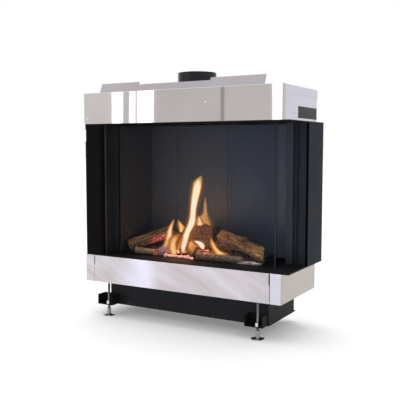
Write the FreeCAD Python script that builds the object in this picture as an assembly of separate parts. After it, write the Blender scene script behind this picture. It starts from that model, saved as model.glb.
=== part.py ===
import FreeCAD, Part
import math
import os

from FreeCAD import Vector

# A gas fireplace for building into a wall, glazed at the front and on its right side.
# Millimetres. +Z is up and the front faces -Y. The origin is on the floor, below the middle of the outline.

# Main sizes of the casing
body_w = 862.0              # steel casing, left to right
body_d = 334.0              # steel casing, front to back
plate_inset = 7.5           # the black plates stop short of the casing's left side
plate_overhang = 28.0       # and stand out past its right side
foot_gap = 40.0             # floor to the plinth
plinth_h = 100.0
base_h = 108.0
chamber_h = 521.0           # clear height between the ledge and the top plate
shroud_h = 122.0
flue_h = 72.0               # spigot above the lid

# Sheet metal
sheet = 1.5                 # steel casing
frame_sheet = 2.0           # black folded frame pieces
plate_t = 4.0               # ledge and top plate
bend_share = 1.6            # outside bend radius in sheet thicknesses
tight_bend_share = 1.0
wrap = 25.0                 # how far the fronts wrap round the sides
skirt_h = 34.0              # turned-down edge of the lid

# Clearances and cutters
fit_gap = 0.3               # between pieces that slide past each other
pin_gap = 0.08              # round a turning pin
seam_gap = 0.8              # open joint between neighbouring panels
slot_gap = 1.0              # each side of a glass pane in its slot
overrun = 5.0               # how far a cutter reaches past the face that it opens

# Screws and nuts
hex_sides = 6
screw_r = 1.9
screw_l = 6.0
screw_head_r = 3.6
screw_head_h = 1.2
shroud_screw_shares = ((-0.477, 0.17), (-0.176, 0.56), (0.153, 0.565), (0.477, 0.155))
shroud_side_screw_shares = ((0.341, 0.24),)
base_side_screw_shares = ((0.35, 0.34), (0.793, 0.315))
lid_screw_shares = (-0.42, -0.14, 0.14, 0.42)
plinth_screw_shares = (-0.3, -0.15, 0.0, 0.15, 0.3)
plinth_screw_rise = 8.0

# Left casing
notch_h = 47.0              # opening in its front edge, below the shroud
notch_d = 20.0
notch_drop = 22.0

# Plate on the shroud's right side
label_rear_gap = 5.0        # between the plate and the casing's back
label_h = 42.0
label_t = 1.0
label_front = 145.0
label_rise = 11.0

# Heat deflector on the lid
deflector_w = 712.0
deflector_offset = 7.0      # its middle is to the right of the casing's
deflector_h = 35.0
deflector_lean = 14.5
deflector_t = 1.5
deflector_flange = 18.0
deflector_dip_h = 10.0      # the middle stretch is this much lower
deflector_dip_shares = (-0.246, 0.194)

# Flue
flue_r = 75.0
flue_wall = 1.5
flue_flange_r = 92.0
inner_flue_r = 50.0
inner_flue_wall = 1.0
inner_flue_flange_r = 62.0
inner_flue_drop = 10.0      # the inner pipe ends below the outer one
spacer_count = 3
spacer_h = 12.0
spacer_drop = 36.0

# Glass
glass_t = 4.0
glass_setback = 78.0        # front pane behind the casing's front
side_setback = 86.5         # side pane inside the plates' right edge
side_glass_end = 185.0      # rear edge of the side pane, from the front
glass_seat = 8.0            # how deep the panes stand in the ledge and the top plate
glass_lift = 12.0           # travel of the front pane
channel_t = 1.5

# Left jamb and its glass clamp
jamb_flange = 69.5
jamb_side = 30.0
ridge_d = 11.0
ridge_step = 3.0
jamb_hem = 20.0
clamp_front = 36.0
clamp_hem = 20.0
clamp_cover = 15.0          # how far a clamp covers the edge of the pane

# Right rear jamb, its ridges and the clamp post
post_lap = 5.0              # how far the post covers the side pane's rear edge
post_w = 24.0
post_d = 8.5
post_round = 2.0
groove_w = 9.0
groove_d = 7.0
rib_w = 7.0
rib_d = 5.0
jamb_panel_w = 31.0
jamb_return = 20.0
rear_panel_front = 178.0
rear_panel_fold = 25.0

# Fire chamber
chamber_inset = 109.5       # left lining inside the plates' left edge
chamber_rear_gap = 39.0     # between the back lining and the casing's back
liner_t = 5.0
liner_top_gap = 0.5
left_seam_share = 0.5
back_seam_share = 0.214
strip_share = 0.562
strip_w = 26.0
strip_t = 1.5

# Relief hatch in the top plate
hatch_x_share = 0.26
hatch_y_share = 0.52
hatch_w = 90.0
hatch_d = 50.0
hatch_lap = 10.0
hatch_pin_r = 2.0
hatch_knuckle_r = 4.0
hatch_ear_t = 3.0

# Burner
tray_w = 515.0
tray_rear_gap = 25.0        # room for the pilot between the tray and the back lining
tray_h = 12.0
tray_front = 118.0
tray_t = 1.5
burner_w = 385.0
burner_d = 62.0
burner_h = 8.5
port_r = 1.5
port_rows = 2
port_count = 15
bed_t = 8.0

# Gas valve, its pipe, the shut-off valve and the hole for the supply pipe in the casing's left side
valve_x_share = 0.255       # of the casing's width, to the right of its middle
valve_w = 90.0
valve_d = 70.0
valve_h = 60.0
valve_front = 120.0
outlet_boss_r = 9.0
outlet_boss_h = 4.5
pipe_r = 5.0
pipe_wall = 1.2
injector_across = 16.0
injector_h = 14.0
nozzle_r = 3.0
knob_r = 17.0
knob_l = 16.0
knob_grip_w = 6.0
knob_grip_h = 5.0
knob_standoff = 6.0
knob_offset = 21.0
spindle_r = 4.0
spindle_l = 14.0
button_r = 7.0
button_l = 7.0
button_stem_r = 3.0
button_stem_l = 10.0
button_travel = 4.0
shutoff_r = 12.0
shutoff_l = 70.0
shutoff_nut_across = 27.0
shutoff_nut_l = 14.0
inlet_r = 7.5
inlet_l = 14.0
supply_hole_r = 12.0
lever_l = 48.0
lever_w = 9.0
lever_t = 3.0
lever_hub_r = 8.0
lever_hub_h = 8.0

# Pilot
pilot_x_share = 0.59
pilot_w = 30.0
pilot_d = 16.0
pilot_h = 34.0
pilot_t = 1.5
pilot_hood_r = 6.0
pilot_hood_h = 14.0
probe_r = 2.0
probe_l = 40.0

# Base front
corner_w = 43.0             # corner pieces beside the removable panel
corner_fold = 10.0
panel_fold = 13.0
slit_w = 3.0
slit_h = 37.0
slit_drop = 3.0

# Plinth
plinth_inset = 74.0         # inside the casing at either side
plinth_front = 68.0
plinth_rear_gap = 25.0      # between the plinth and the casing's back
plinth_flange = 20.0
plinth_seam_share = 0.794    # joint in its front, a shallow groove
plinth_tab_w = 43.0
plinth_tab_l = 20.0
plinth_hole_r = 5.5
plinth_hole_spacing = 120.0
plinth_hole_rise_share = 0.55

# Feet
left_foot_inset = 19.0      # front rods inside the plinth's ends
right_foot_inset = 27.0
rear_foot_inset = 87.0
foot_reach = 38.0           # rod in front of the plate that carries its bracket
rod_r = 5.0
rod_head_gap = 9.0          # rod's top to the floor of the base
pad_r = 25.0
pad_edge_h = 3.0
pad_h = 7.0
socket_r = 7.5
socket_h = 31.0
bracket_w = 72.0
bracket_rod_share = 0.68
bracket_h = 40.0
bracket_d = 48.0
bracket_t = 3.0
bracket_lift = 3.0          # bracket above the plinth's lower edge
nut_across = 17.0
nut_h = 14.0

# Logs: each end is a share of the chamber's width, then a depth, a height above the seat and a radius,
# all three in log radii. The depth counts back from the front pane, or forward from the tray's rear
# where it is below zero. The seat is the ember bed, or the ledge for pieces in front of the tray.
billet_d = 60.0             # thickness of a common log
log_r = billet_d / 2
bed_log_shares = {
    "log_back": ((0.202, -1.268, 1.133, 1.133), (0.73, -1.133, 1.033, 1.033)),
    "log_left": ((0.03, 1.0, 0.3, 0.9), (0.249, -2.17, 2.5, 0.75)),
    "log_right": ((0.586, -2.333, 2.35, 0.733), (0.923, 1.2, 0.53, 0.933)),
    "log_center": ((0.419, -2.234, 2.85, 0.9), (0.548, -2.433, 2.35, 0.767)),
    "log_upright": ((0.451, 1.233, 0.133, 0.567), (0.495, 1.167, 1.6, 0.5)),
}
ledge_log_shares = {
    "log_front": ((0.519, 0.568, 0.5, 0.5), (0.8, 0.604, 0.45, 0.45)),
    "log_low": ((0.097, 0.632, 0.53, 0.5), (0.229, 0.703, 0.41, 0.4)),
}
chip_w = 20.0
chip_d = 10.0
chip_h = 15.0
chip_shares = ((0.808, 0.355), (0.845, 0.781), (0.846, 0.142))
chip_turns_deg = (12.0, -10.0, 8.0)

# Places that follow from the sizes
left_x = -(body_w + plate_overhang) / 2
right_x = left_x + body_w
middle_x = (left_x + right_x) / 2
plate_x0 = left_x + plate_inset
plate_x1 = right_x + plate_overhang
front_y = -body_d / 2
back_y = body_d / 2
inside_back_y = back_y - 2 * sheet
plinth_z = foot_gap
base_z = plinth_z + plinth_h
ledge_z = base_z + base_h
chamber_z = ledge_z + plate_t
top_z = chamber_z + chamber_h
shroud_z = top_z + plate_t
lid_z = shroud_z + shroud_h
flue_top_z = lid_z + flue_h
inner_flue_top_z = flue_top_z - inner_flue_drop
flue_axis = Vector(middle_x, 0, 0)


def deep(distance):
    """The Y of a place at a distance behind the casing's front."""
    return front_y + distance


label_w = body_d - label_front - label_rear_gap
chamber_back = body_d - chamber_rear_gap
plinth_back = body_d - plinth_rear_gap
tray_d = chamber_back - tray_front - tray_rear_gap
post_front = side_glass_end - post_lap
glass_y0 = deep(glass_setback)
glass_y1 = glass_y0 + glass_t
side_x1 = plate_x1 - side_setback
side_x0 = side_x1 - glass_t
side_y0 = glass_y1 + slot_gap + channel_t + fit_gap
side_y1 = deep(side_glass_end)
glass_z0 = chamber_z - glass_seat
glass_z1 = top_z + glass_seat
jamb_x = plate_x0 + jamb_flange
chamber_x0 = plate_x0 + chamber_inset
chamber_y1 = deep(chamber_back)
shell_x0 = chamber_x0 - liner_t
shell_x1 = side_x0 + liner_t
shell_y1 = chamber_y1 + liner_t
glass_x0 = shell_x0 - clamp_cover
post_x0 = side_x1 + fit_gap
post_x1 = post_x0 + post_w
post_y0 = deep(post_front)
post_y1 = post_y0 + post_d
chamber_w = side_x0 - chamber_x0
tray_x0 = (chamber_x0 + side_x0 - tray_w) / 2
tray_x1 = tray_x0 + tray_w
tray_y0 = deep(tray_front)
tray_y1 = tray_y0 + tray_d
burner_z = chamber_z + tray_t
bed_z = burner_z + burner_h
bed_top_z = bed_z + bed_t
seam_x0 = left_x + corner_w
seam_x1 = right_x - corner_w
floor_z = base_z + sheet
valve_x = middle_x + valve_x_share * body_w
valve_y0 = deep(valve_front)
valve_axis_z = floor_z + valve_h / 2
outlet = Vector(valve_x, valve_y0 + valve_d - 2 * outlet_boss_r, floor_z + valve_h)
knob_x = valve_x - knob_offset
button_x = valve_x + knob_offset
lever_x = valve_x - valve_w / 2 - shutoff_l / 2
shutoff_y = valve_y0 + valve_d / 2
plinth_x0 = left_x + plinth_inset
plinth_x1 = right_x - plinth_inset
plinth_y0 = deep(plinth_front)
plinth_y1 = deep(plinth_back)
bracket_z = plinth_z + bracket_lift
sole_z = bracket_z + bracket_t
rod_top = base_z - rod_head_gap
hatch_x = middle_x + hatch_x_share * body_w
hatch_y = deep(hatch_y_share * body_d)
hatch_pin_y = hatch_y + hatch_d / 2 + hatch_lap + hatch_knuckle_r
hatch_pin_z = shroud_z + hatch_knuckle_r + fit_gap
up = Vector(0, 0, 1)
forward = Vector(0, -1, 0)
backward = Vector(0, 1, 0)
rightward = Vector(1, 0, 0)


# Shapes that the pieces are made from

def block(x0, x1, y0, y1, z0, z1):
    """Box between two opposite corners."""
    return Part.makeBox(x1 - x0, y1 - y0, z1 - z0, Vector(x0, y0, z0))


def bar(radius, start, end):
    """Round bar from one point to another."""
    run = end - start
    return Part.makeCylinder(radius, run.Length, start, run)


def pipe(radius, wall, start, end):
    """Round pipe from one point to another."""
    return bar(radius, start, end).cut(bar(radius - wall, start, end))


def prism(points, travel):
    """Straight solid over a closed outline."""
    return Part.Face(Part.makePolygon(points + points[:1])).extrude(travel)


def hexagon(across, start, end):
    """Six-sided bar along an axis, given its width across flats."""
    run = end - start
    circle = Part.makeCircle(across / math.sqrt(3), start, run)
    return prism(circle.discretize(hex_sides + 1)[:hex_sides], run)


def rounded_outline(corners, radii):
    """Closed wire through corners, each rounded by its own radius; zero leaves a corner sharp."""
    edges = []
    ends = []
    for i, corner in enumerate(corners):
        toward_last = (corners[i - 1] - corner).normalize()
        toward_next = (corners[(i + 1) % len(corners)] - corner).normalize()
        half = toward_last.getAngle(toward_next) / 2
        reach = radii[i] / math.tan(half)
        start = corner + toward_last * reach
        finish = corner + toward_next * reach
        if radii[i] > 0:
            inward = (toward_last + toward_next).normalize()
            crown = corner + inward * (radii[i] / math.sin(half) - radii[i])
            edges.append(Part.Arc(start, crown, finish).toShape())
        ends.append((start, finish))
    for i, (start, finish) in enumerate(ends):
        edges.append(Part.makeLine(ends[i - 1][1], start))
    return Part.Wire(Part.__sortEdges__(edges))


def folded(line, thickness, z0, z1, bend=bend_share):
    """Sheet bent along a plan line and standing from z0 to z1, with its thickness on the line's left."""
    path = [Vector(x, y, z0) for x, y in line]
    runs = [(b - a).normalize() for a, b in zip(path, path[1:])]
    sides = [Vector(-run.y, run.x, 0) for run in runs]
    mitres = [(a + b) * (1 / (1 + a.dot(b))) for a, b in zip(sides, sides[1:])]
    mitres = [sides[0]] + mitres + [sides[-1]]
    turns = [0] + [a.cross(b).z for a, b in zip(runs, runs[1:])] + [0]
    outside = bend * thickness
    inside = outside - thickness
    near = [outside if turn > 0 else inside if turn < 0 else 0 for turn in turns]
    far = [inside if turn > 0 else outside if turn < 0 else 0 for turn in turns]
    shifted = [point + mitre * thickness for point, mitre in zip(path, mitres)]
    wire = rounded_outline(path + shifted[::-1], near + far[::-1])
    return Part.Face(wire).extrude(up * (z1 - z0))


def cut_all(shape, cutters):
    """A shape with every cutter taken out of it."""
    for cutter in cutters:
        shape = shape.cut(cutter)
    return shape


def joined(first, *others):
    """One solid made of touching or overlapping shapes."""
    return first.multiFuse(list(others)).removeSplitter()


def screw(seat, outward):
    """Pan-head screw whose head lies on its seat."""
    head = bar(screw_head_r, seat, seat + outward * screw_head_h)
    return joined(head, bar(screw_r, seat, seat - outward * screw_l))


def screw_hole(seat, outward):
    """Clearance hole for a screw, through whatever sheet lies at its seat."""
    return bar(screw_r + fit_gap, seat + outward * overrun, seat - outward * screw_l)


# Places of the screws, as seat and outward direction

shroud_screws = [
    (Vector(middle_x + a * body_w, front_y, shroud_z + b * shroud_h), forward)
    for a, b in shroud_screw_shares
]
shroud_side_screws = [
    (Vector(right_x - sheet, deep(a * body_d), shroud_z + b * shroud_h), rightward)
    for a, b in shroud_side_screw_shares
]
base_side_screws = [
    (Vector(right_x, deep(a * body_d), base_z + b * base_h), rightward) for a, b in base_side_screw_shares
]
lid_screws = [
    (Vector(middle_x + a * body_w, back_y, lid_z - skirt_h / 2), backward) for a in lid_screw_shares
]
plinth_screws = [
    (Vector(middle_x + a * body_w, plinth_y0, plinth_z + plinth_screw_rise), forward)
    for a in plinth_screw_shares
]


def holes(places):
    """Cutters for a list of screw places."""
    return [screw_hole(seat, outward) for seat, outward in places]


# Steel casing

def shroud_front():
    """Front of the shroud, wrapped round both sides."""
    line = [(left_x, deep(wrap)), (left_x, front_y), (right_x, front_y), (right_x, deep(wrap))]
    return cut_all(folded(line, sheet, shroud_z, lid_z - sheet), holes(shroud_screws))


def shroud_side():
    """Right side of the shroud, inside the wrapped front and the lid's skirt."""
    start = deep(sheet + bend_share * sheet)
    side = block(right_x - 2 * sheet, right_x - sheet, start, inside_back_y, shroud_z, lid_z - sheet)
    return cut_all(side, holes(shroud_side_screws))


def shroud_lid():
    """Lid sheet with an opening below the flue spigot, on a skirt round three sides."""
    top = block(left_x, right_x, front_y, back_y, lid_z - sheet, lid_z)
    skirt_z = lid_z - skirt_h
    left = block(left_x, left_x + sheet, deep(wrap), back_y, skirt_z, lid_z - sheet)
    right = block(right_x - sheet, right_x, deep(wrap), back_y, skirt_z, lid_z - sheet)
    back = block(left_x, right_x, back_y - sheet, back_y, skirt_z, lid_z - sheet)
    mouth = bar(flue_r - flue_wall, flue_axis + up * (lid_z - skirt_h), flue_axis + up * (lid_z + overrun))
    return [top.cut(mouth), cut_all(joined(left, right, back), holes(lid_screws))]


def left_casing():
    """Closed left side, with an opening in its front edge and a hole for the supply pipe."""
    x0 = left_x + sheet
    start = deep(sheet + bend_share * sheet)
    side = block(x0, x0 + sheet, start, inside_back_y, base_z, lid_z - sheet)
    notch_z = shroud_z - notch_drop
    notch = block(x0 - overrun, x0 + overrun, start - overrun, start + notch_d, notch_z - notch_h, notch_z)
    way_in = Vector(x0, shutoff_y, valve_axis_z)
    supply_hole = bar(supply_hole_r, way_in - rightward * overrun, way_in + rightward * overrun)
    return cut_all(side, [notch, supply_hole])


def rear_panel():
    """Back of the casing, inside the lid's skirt."""
    back = block(left_x + sheet, right_x - sheet, inside_back_y, back_y - sheet, base_z, lid_z - sheet)
    return cut_all(back, holes(lid_screws))


def heat_deflector():
    """Leaning strip along the lid's front edge, lower in the middle, on a flange."""
    strip_x = middle_x + deflector_offset
    x0 = strip_x - deflector_w / 2
    slope = deflector_lean / deflector_h
    foot = lid_z + deflector_t
    y0 = deep(deflector_t)
    profile = [
        (y0, lid_z),
        (y0 + deflector_flange, lid_z),
        (y0 + deflector_flange, foot),
        (y0 + deflector_t * (1 + slope), foot),
        (y0 + deflector_t + deflector_lean, lid_z + deflector_h),
        (y0 + deflector_lean, lid_z + deflector_h),
    ]
    strip = prism([Vector(x0, y, z) for y, z in profile], rightward * deflector_w)
    dip_x0, dip_x1 = [strip_x + share * deflector_w for share in deflector_dip_shares]
    dip_z = lid_z + deflector_h - deflector_dip_h
    dip = block(dip_x0, dip_x1, y0, deep(wrap) + deflector_lean, dip_z, dip_z + deflector_h)
    return strip.cut(dip)


def data_plate():
    """Plain plate on the shroud's right side."""
    x0 = right_x - sheet
    y0 = deep(label_front)
    z0 = shroud_z + label_rise
    return block(x0, x0 + label_t, y0, y0 + label_w, z0, z0 + label_h)


def casing_screws():
    """All the visible screws of the casing and the plinth."""
    places = shroud_screws + shroud_side_screws + base_side_screws + lid_screws + plinth_screws
    return [screw(seat, outward) for seat, outward in places]


# Flue

def flue_outer_spigot():
    """Outer pipe, on a flange on the lid."""
    seat = flue_axis + up * lid_z
    rim = seat + up * sheet
    flange = pipe(flue_flange_r, flue_flange_r - flue_r + flue_wall, seat, rim)
    return [flange, pipe(flue_r, flue_wall, rim, flue_axis + up * flue_top_z)]


def flue_inner_spigot():
    """Inner pipe, on a flange on the top plate, up through the shroud to just below the outer pipe's end."""
    seat = flue_axis + up * shroud_z
    rim = seat + up * sheet
    flange = pipe(inner_flue_flange_r, inner_flue_flange_r - inner_flue_r + inner_flue_wall / 2, seat, rim)
    return [flange, pipe(inner_flue_r, inner_flue_wall, rim, flue_axis + up * inner_flue_top_z)]


def flue_spacers():
    """Strips that hold the inner pipe in the middle of the outer one."""
    z0 = flue_top_z - spacer_drop
    start = flue_axis + up * z0
    ring = pipe(flue_r - flue_wall, flue_r - flue_wall - inner_flue_r, start, start + up * spacer_h)
    strip = block(middle_x, middle_x + flue_r, -sheet / 2, sheet / 2, z0, z0 + spacer_h)
    spacers = []
    for i in range(spacer_count):
        turned = strip.copy()
        turned.rotate(flue_axis, up, 360 * i / spacer_count)
        spacers.append(turned.common(ring))
    return spacers


# Glass and its channels

def glass_slots(z0, z1):
    """Cutters for the slots that the two panes stand in."""
    front = block(glass_x0 - slot_gap, side_x1 + slot_gap, glass_y0 - slot_gap, glass_y1 + slot_gap, z0, z1)
    side = block(side_x0 - slot_gap, side_x1 + slot_gap, glass_y1, side_y1 + slot_gap, z0, z1)
    return [front, side]


def front_glass():
    """Front pane, which covers the edge of the side pane."""
    return block(glass_x0, side_x1, glass_y0, glass_y1, glass_z0, glass_z1)


def side_glass():
    """Right side pane."""
    return block(side_x0, side_x1, side_y0, side_y1, glass_z0, glass_z1)


def corner_seal():
    """Dark strip between the two panes."""
    return block(side_x0, side_x1, glass_y1 + fit_gap, side_y0, chamber_z, top_z)


def front_channel(z0, z1):
    """Outside of a channel for the front pane."""
    wall = slot_gap + channel_t
    return block(glass_x0 - wall, side_x1 + wall, glass_y0 - wall, glass_y1 + wall, z0, z1)


def side_channel(z0, z1):
    """Outside of a channel for the side pane, which starts behind the front one."""
    wall = slot_gap + channel_t
    return block(side_x0 - wall, side_x1 + wall, glass_y1 + wall, side_y1 + wall, z0, z1)


def bottom_glass_channels():
    """Channels under the ledge that the panes stand in."""
    z0 = glass_z0 - channel_t
    slots = glass_slots(glass_z0, ledge_z + overrun)
    return [front_channel(z0, ledge_z).cut(slots[0]), side_channel(z0, ledge_z).cut(slots[1])]


def top_glass_channels():
    """Channels on the top plate; the front one leaves room to lift the pane."""
    room = glass_z1 + glass_lift + fit_gap
    side_room = glass_z1 + fit_gap
    front = front_channel(shroud_z, room + channel_t).cut(glass_slots(shroud_z - overrun, room)[0])
    side = side_channel(shroud_z, side_room + channel_t).cut(glass_slots(shroud_z - overrun, side_room)[1])
    return [front, side]


# Fire chamber

def plate(z0):
    """Black plate over the whole plan, slotted for the panes."""
    whole = block(plate_x0, plate_x1, front_y, inside_back_y, z0, z0 + plate_t)
    return cut_all(whole, glass_slots(z0 - overrun, z0 + plate_t + overrun))


def top_plate():
    """Top plate with the flue outlet and the hatch opening."""
    low = flue_axis + up * (top_z - overrun)
    outlet_hole = bar(inner_flue_r, low, flue_axis + up * (shroud_z + overrun))
    x0 = hatch_x - hatch_w / 2
    y0 = hatch_y - hatch_d / 2
    opening = block(x0, x0 + hatch_w, y0, y0 + hatch_d, top_z - overrun, shroud_z + overrun)
    return cut_all(plate(top_z), [outlet_hole, opening])


def nozzle_hole(z0, z1):
    """Clearance for the injector's nozzle between two heights."""
    return bar(nozzle_r + fit_gap, Vector(outlet.x, outlet.y, z0), Vector(outlet.x, outlet.y, z1))


def bottom_ledge():
    """Ledge, which is also the floor of the fire chamber."""
    return plate(ledge_z).cut(nozzle_hole(ledge_z - overrun, chamber_z + overrun))


def left_jamb():
    """Flange and stepped return on the left of the opening."""
    line = [
        (plate_x0, deep(jamb_side)),
        (plate_x0, front_y),
        (jamb_x, front_y),
        (jamb_x, deep(ridge_d)),
        (jamb_x + ridge_step, deep(ridge_d)),
        (jamb_x + ridge_step, deep(2 * ridge_d)),
        (jamb_x + ridge_step - jamb_hem, deep(2 * ridge_d)),
    ]
    return folded(line, frame_sheet, chamber_z, top_z, tight_bend_share)


def left_glass_clamp():
    """Folded strip that covers the left edge of the front pane."""
    cover_y = glass_y0 - fit_gap - frame_sheet
    line = [
        (jamb_x - clamp_hem, deep(clamp_front)),
        (jamb_x, deep(clamp_front)),
        (jamb_x, cover_y),
        (glass_x0 + clamp_cover, cover_y),
    ]
    return folded(line, frame_sheet, chamber_z, top_z)


def side_glass_clamp():
    """Post that covers the rear edge of the side pane."""
    corners = [(post_x0, post_y0), (post_x1, post_y0), (post_x1, post_y1), (post_x0, post_y1)]
    wire = rounded_outline([Vector(x, y, chamber_z) for x, y in corners], [post_round, post_round, 0, 0])
    return Part.Face(wire).extrude(up * chamber_h)


def right_jamb():
    """Ribbed panel that faces forward at the rear end of the side opening."""
    groove_y = post_y1 - sheet
    rib_y = groove_y - rib_d
    panel_y = groove_y - groove_d
    rib_x0 = post_x1 + groove_w
    rib_x1 = rib_x0 + rib_w
    panel_x0 = rib_x1 + groove_w
    panel_x1 = panel_x0 + jamb_panel_w
    line = [
        (post_x1, groove_y),
        (rib_x0, groove_y),
        (rib_x0, rib_y),
        (rib_x1, rib_y),
        (rib_x1, groove_y),
        (panel_x0, groove_y),
        (panel_x0, panel_y),
        (panel_x1, panel_y),
        (panel_x1, panel_y + jamb_return),
    ]
    return folded(line, sheet, chamber_z, top_z, tight_bend_share)


def right_rear_panel():
    """Flat black panel behind the right opening, folded in at the back."""
    line = [
        (plate_x1, deep(rear_panel_front)),
        (plate_x1, inside_back_y),
        (plate_x1 - rear_panel_fold, inside_back_y),
    ]
    return folded(line, frame_sheet, chamber_z, top_z)


def firebox_shell():
    """Sheet round the left, the back and the right rear of the chamber, flanged behind the front pane."""
    flange_y = glass_y1 + fit_gap
    line = [
        (glass_x0, flange_y),
        (shell_x0, flange_y),
        (shell_x0, shell_y1),
        (shell_x1, shell_y1),
        (shell_x1, post_y1),
    ]
    return folded(line, sheet, chamber_z, top_z, tight_bend_share)


def side_liners():
    """Lining panels of the left wall, in two halves, and of the right rear wall."""
    z1 = top_z - liner_top_gap
    y0 = glass_y1 + slot_gap + sheet
    seam_y = y0 + left_seam_share * (chamber_y1 - y0)
    left_front = block(shell_x0, chamber_x0, y0, seam_y - seam_gap / 2, chamber_z, z1)
    left_rear = block(shell_x0, chamber_x0, seam_y + seam_gap / 2, chamber_y1, chamber_z, z1)
    right = block(side_x0, shell_x1, post_y1, chamber_y1, chamber_z, z1)
    return [left_front, left_rear, right]


def back_liners():
    """Lining panels of the back wall and the strip over one of their joints."""
    z1 = top_z - liner_top_gap
    width = shell_x1 - shell_x0
    seam_x = shell_x0 + back_seam_share * width
    strip_x = shell_x0 + strip_share * width
    edges = [shell_x0 - seam_gap / 2, seam_x, strip_x, shell_x1 + seam_gap / 2]
    panels = [
        block(x0 + seam_gap / 2, x1 - seam_gap / 2, chamber_y1, shell_y1, chamber_z, z1)
        for x0, x1 in zip(edges, edges[1:])
    ]
    x0 = strip_x - strip_w / 2
    strip = block(x0, x0 + strip_w, chamber_y1 - strip_t, chamber_y1, chamber_z, z1)
    return panels + [strip]


# Relief hatch

def relief_hatch():
    """Flap over the opening in the top plate, with its hinge knuckle."""
    x0 = hatch_x - hatch_w / 2 - hatch_lap
    x1 = hatch_x + hatch_w / 2 + hatch_lap
    y0 = hatch_y - hatch_d / 2 - hatch_lap
    flap = block(x0, x1, y0, hatch_pin_y, shroud_z, shroud_z + sheet)
    axis_y = Vector(0, hatch_pin_y, hatch_pin_z)
    knuckle = bar(hatch_knuckle_r, axis_y + rightward * x0, axis_y + rightward * x1)
    hole_ends = [axis_y + rightward * x for x in (x0 - overrun, x1 + overrun)]
    hole = bar(hatch_pin_r + pin_gap, *hole_ends)
    return joined(flap, knuckle).cut(hole)


def hatch_bracket():
    """Hinge pin of the hatch between two ears on the top plate."""
    reach = hatch_w / 2 + hatch_lap + fit_gap
    ends = [hatch_x - reach - hatch_ear_t, hatch_x + reach]
    ears = [
        block(
            x,
            x + hatch_ear_t,
            hatch_pin_y - hatch_knuckle_r,
            hatch_pin_y + hatch_knuckle_r,
            shroud_z,
            hatch_pin_z + hatch_knuckle_r,
        )
        for x in ends
    ]
    pin = bar(hatch_pin_r, *[Vector(x, hatch_pin_y, hatch_pin_z) for x in ends])
    return joined(pin, *ears)


# Burner and gas train

def tray_room(z0, z1):
    """Space inside the tray's walls between two heights."""
    return block(tray_x0 + tray_t, tray_x1 - tray_t, tray_y0 + tray_t, tray_y1 - tray_t, z0, z1)


def burner_tray():
    """Shallow pan on the chamber's floor."""
    rim_z = chamber_z + tray_h
    pan = block(tray_x0, tray_x1, tray_y0, tray_y1, chamber_z, rim_z)
    room = tray_room(burner_z, rim_z + overrun)
    return cut_all(pan, [room, nozzle_hole(chamber_z - overrun, burner_z + overrun)])


def burner():
    """Flat burner box with rows of ports, fed from below by the nozzle."""
    x0 = (tray_x0 + tray_x1 - burner_w) / 2
    x1 = x0 + burner_w
    y0 = outlet.y - burner_d / 2
    y1 = y0 + burner_d
    box = block(x0, x1, y0, y1, burner_z, bed_z)
    roof_z = bed_z - tray_t
    room = block(x0 + tray_t, x1 - tray_t, y0 + tray_t, y1 - tray_t, burner_z + tray_t, roof_z)
    ports = []
    for row in range(port_rows):
        port_y = y0 + burner_d * (row + 1) / (port_rows + 1)
        for i in range(port_count):
            port = Vector(x0 + burner_w * (i + 1) / (port_count + 1), port_y, roof_z)
            ports.append(bar(port_r, port - up * tray_t, port + up * overrun))
    return cut_all(box, [room, nozzle_hole(burner_z - overrun, burner_z + 2 * tray_t)] + ports)


def injector():
    """Hexagonal injector under the ledge, with its nozzle up into the burner."""
    seat = Vector(outlet.x, outlet.y, ledge_z)
    body = hexagon(injector_across, seat - up * injector_h, seat)
    nozzle = bar(nozzle_r, seat, Vector(outlet.x, outlet.y, burner_z + tray_t))
    return joined(body, nozzle)


def gas_manifold():
    """Pipe from the valve's outlet up to the injector."""
    end = Vector(outlet.x, outlet.y, ledge_z - injector_h)
    return pipe(pipe_r, pipe_wall, outlet + up * outlet_boss_h, end)


def gas_valve():
    """Control valve body with its outlet boss and the knob's spindle, bored for the button."""
    x0 = valve_x - valve_w / 2
    body = block(x0, x0 + valve_w, valve_y0, valve_y0 + valve_d, floor_z, floor_z + valve_h)
    boss = bar(outlet_boss_r, outlet, outlet + up * outlet_boss_h)
    face = Vector(knob_x, valve_y0, valve_axis_z)
    spindle = bar(spindle_r, face, face + forward * spindle_l)
    button_face = Vector(button_x, valve_y0, valve_axis_z)
    stem_l = button_stem_l + button_travel
    bore = bar(button_stem_r + fit_gap, button_face + forward * overrun, button_face + backward * stem_l)
    return joined(body, boss, spindle).cut(bore)


def control_knob():
    """Knob on the valve's spindle, with a raised grip bar."""
    back = Vector(knob_x, valve_y0 - knob_standoff, valve_axis_z)
    front = back + forward * knob_l
    disc = bar(knob_r, back, front)
    grip = block(
        knob_x - knob_grip_w / 2,
        knob_x + knob_grip_w / 2,
        front.y - knob_grip_h,
        front.y,
        valve_axis_z - knob_r,
        valve_axis_z + knob_r,
    )
    socket_end = Vector(knob_x, valve_y0 - spindle_l - pin_gap, valve_axis_z)
    socket = bar(spindle_r + pin_gap, back + backward * overrun, socket_end)
    return joined(disc, grip).cut(socket)


def pilot_button():
    """Push button with a stem in the valve."""
    face = Vector(button_x, valve_y0 - button_travel - fit_gap, valve_axis_z)
    head = bar(button_r, face, face + forward * button_l)
    stem_end = Vector(button_x, valve_y0 + button_stem_l - fit_gap, valve_axis_z)
    return joined(head, bar(button_stem_r, face, stem_end))


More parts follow.
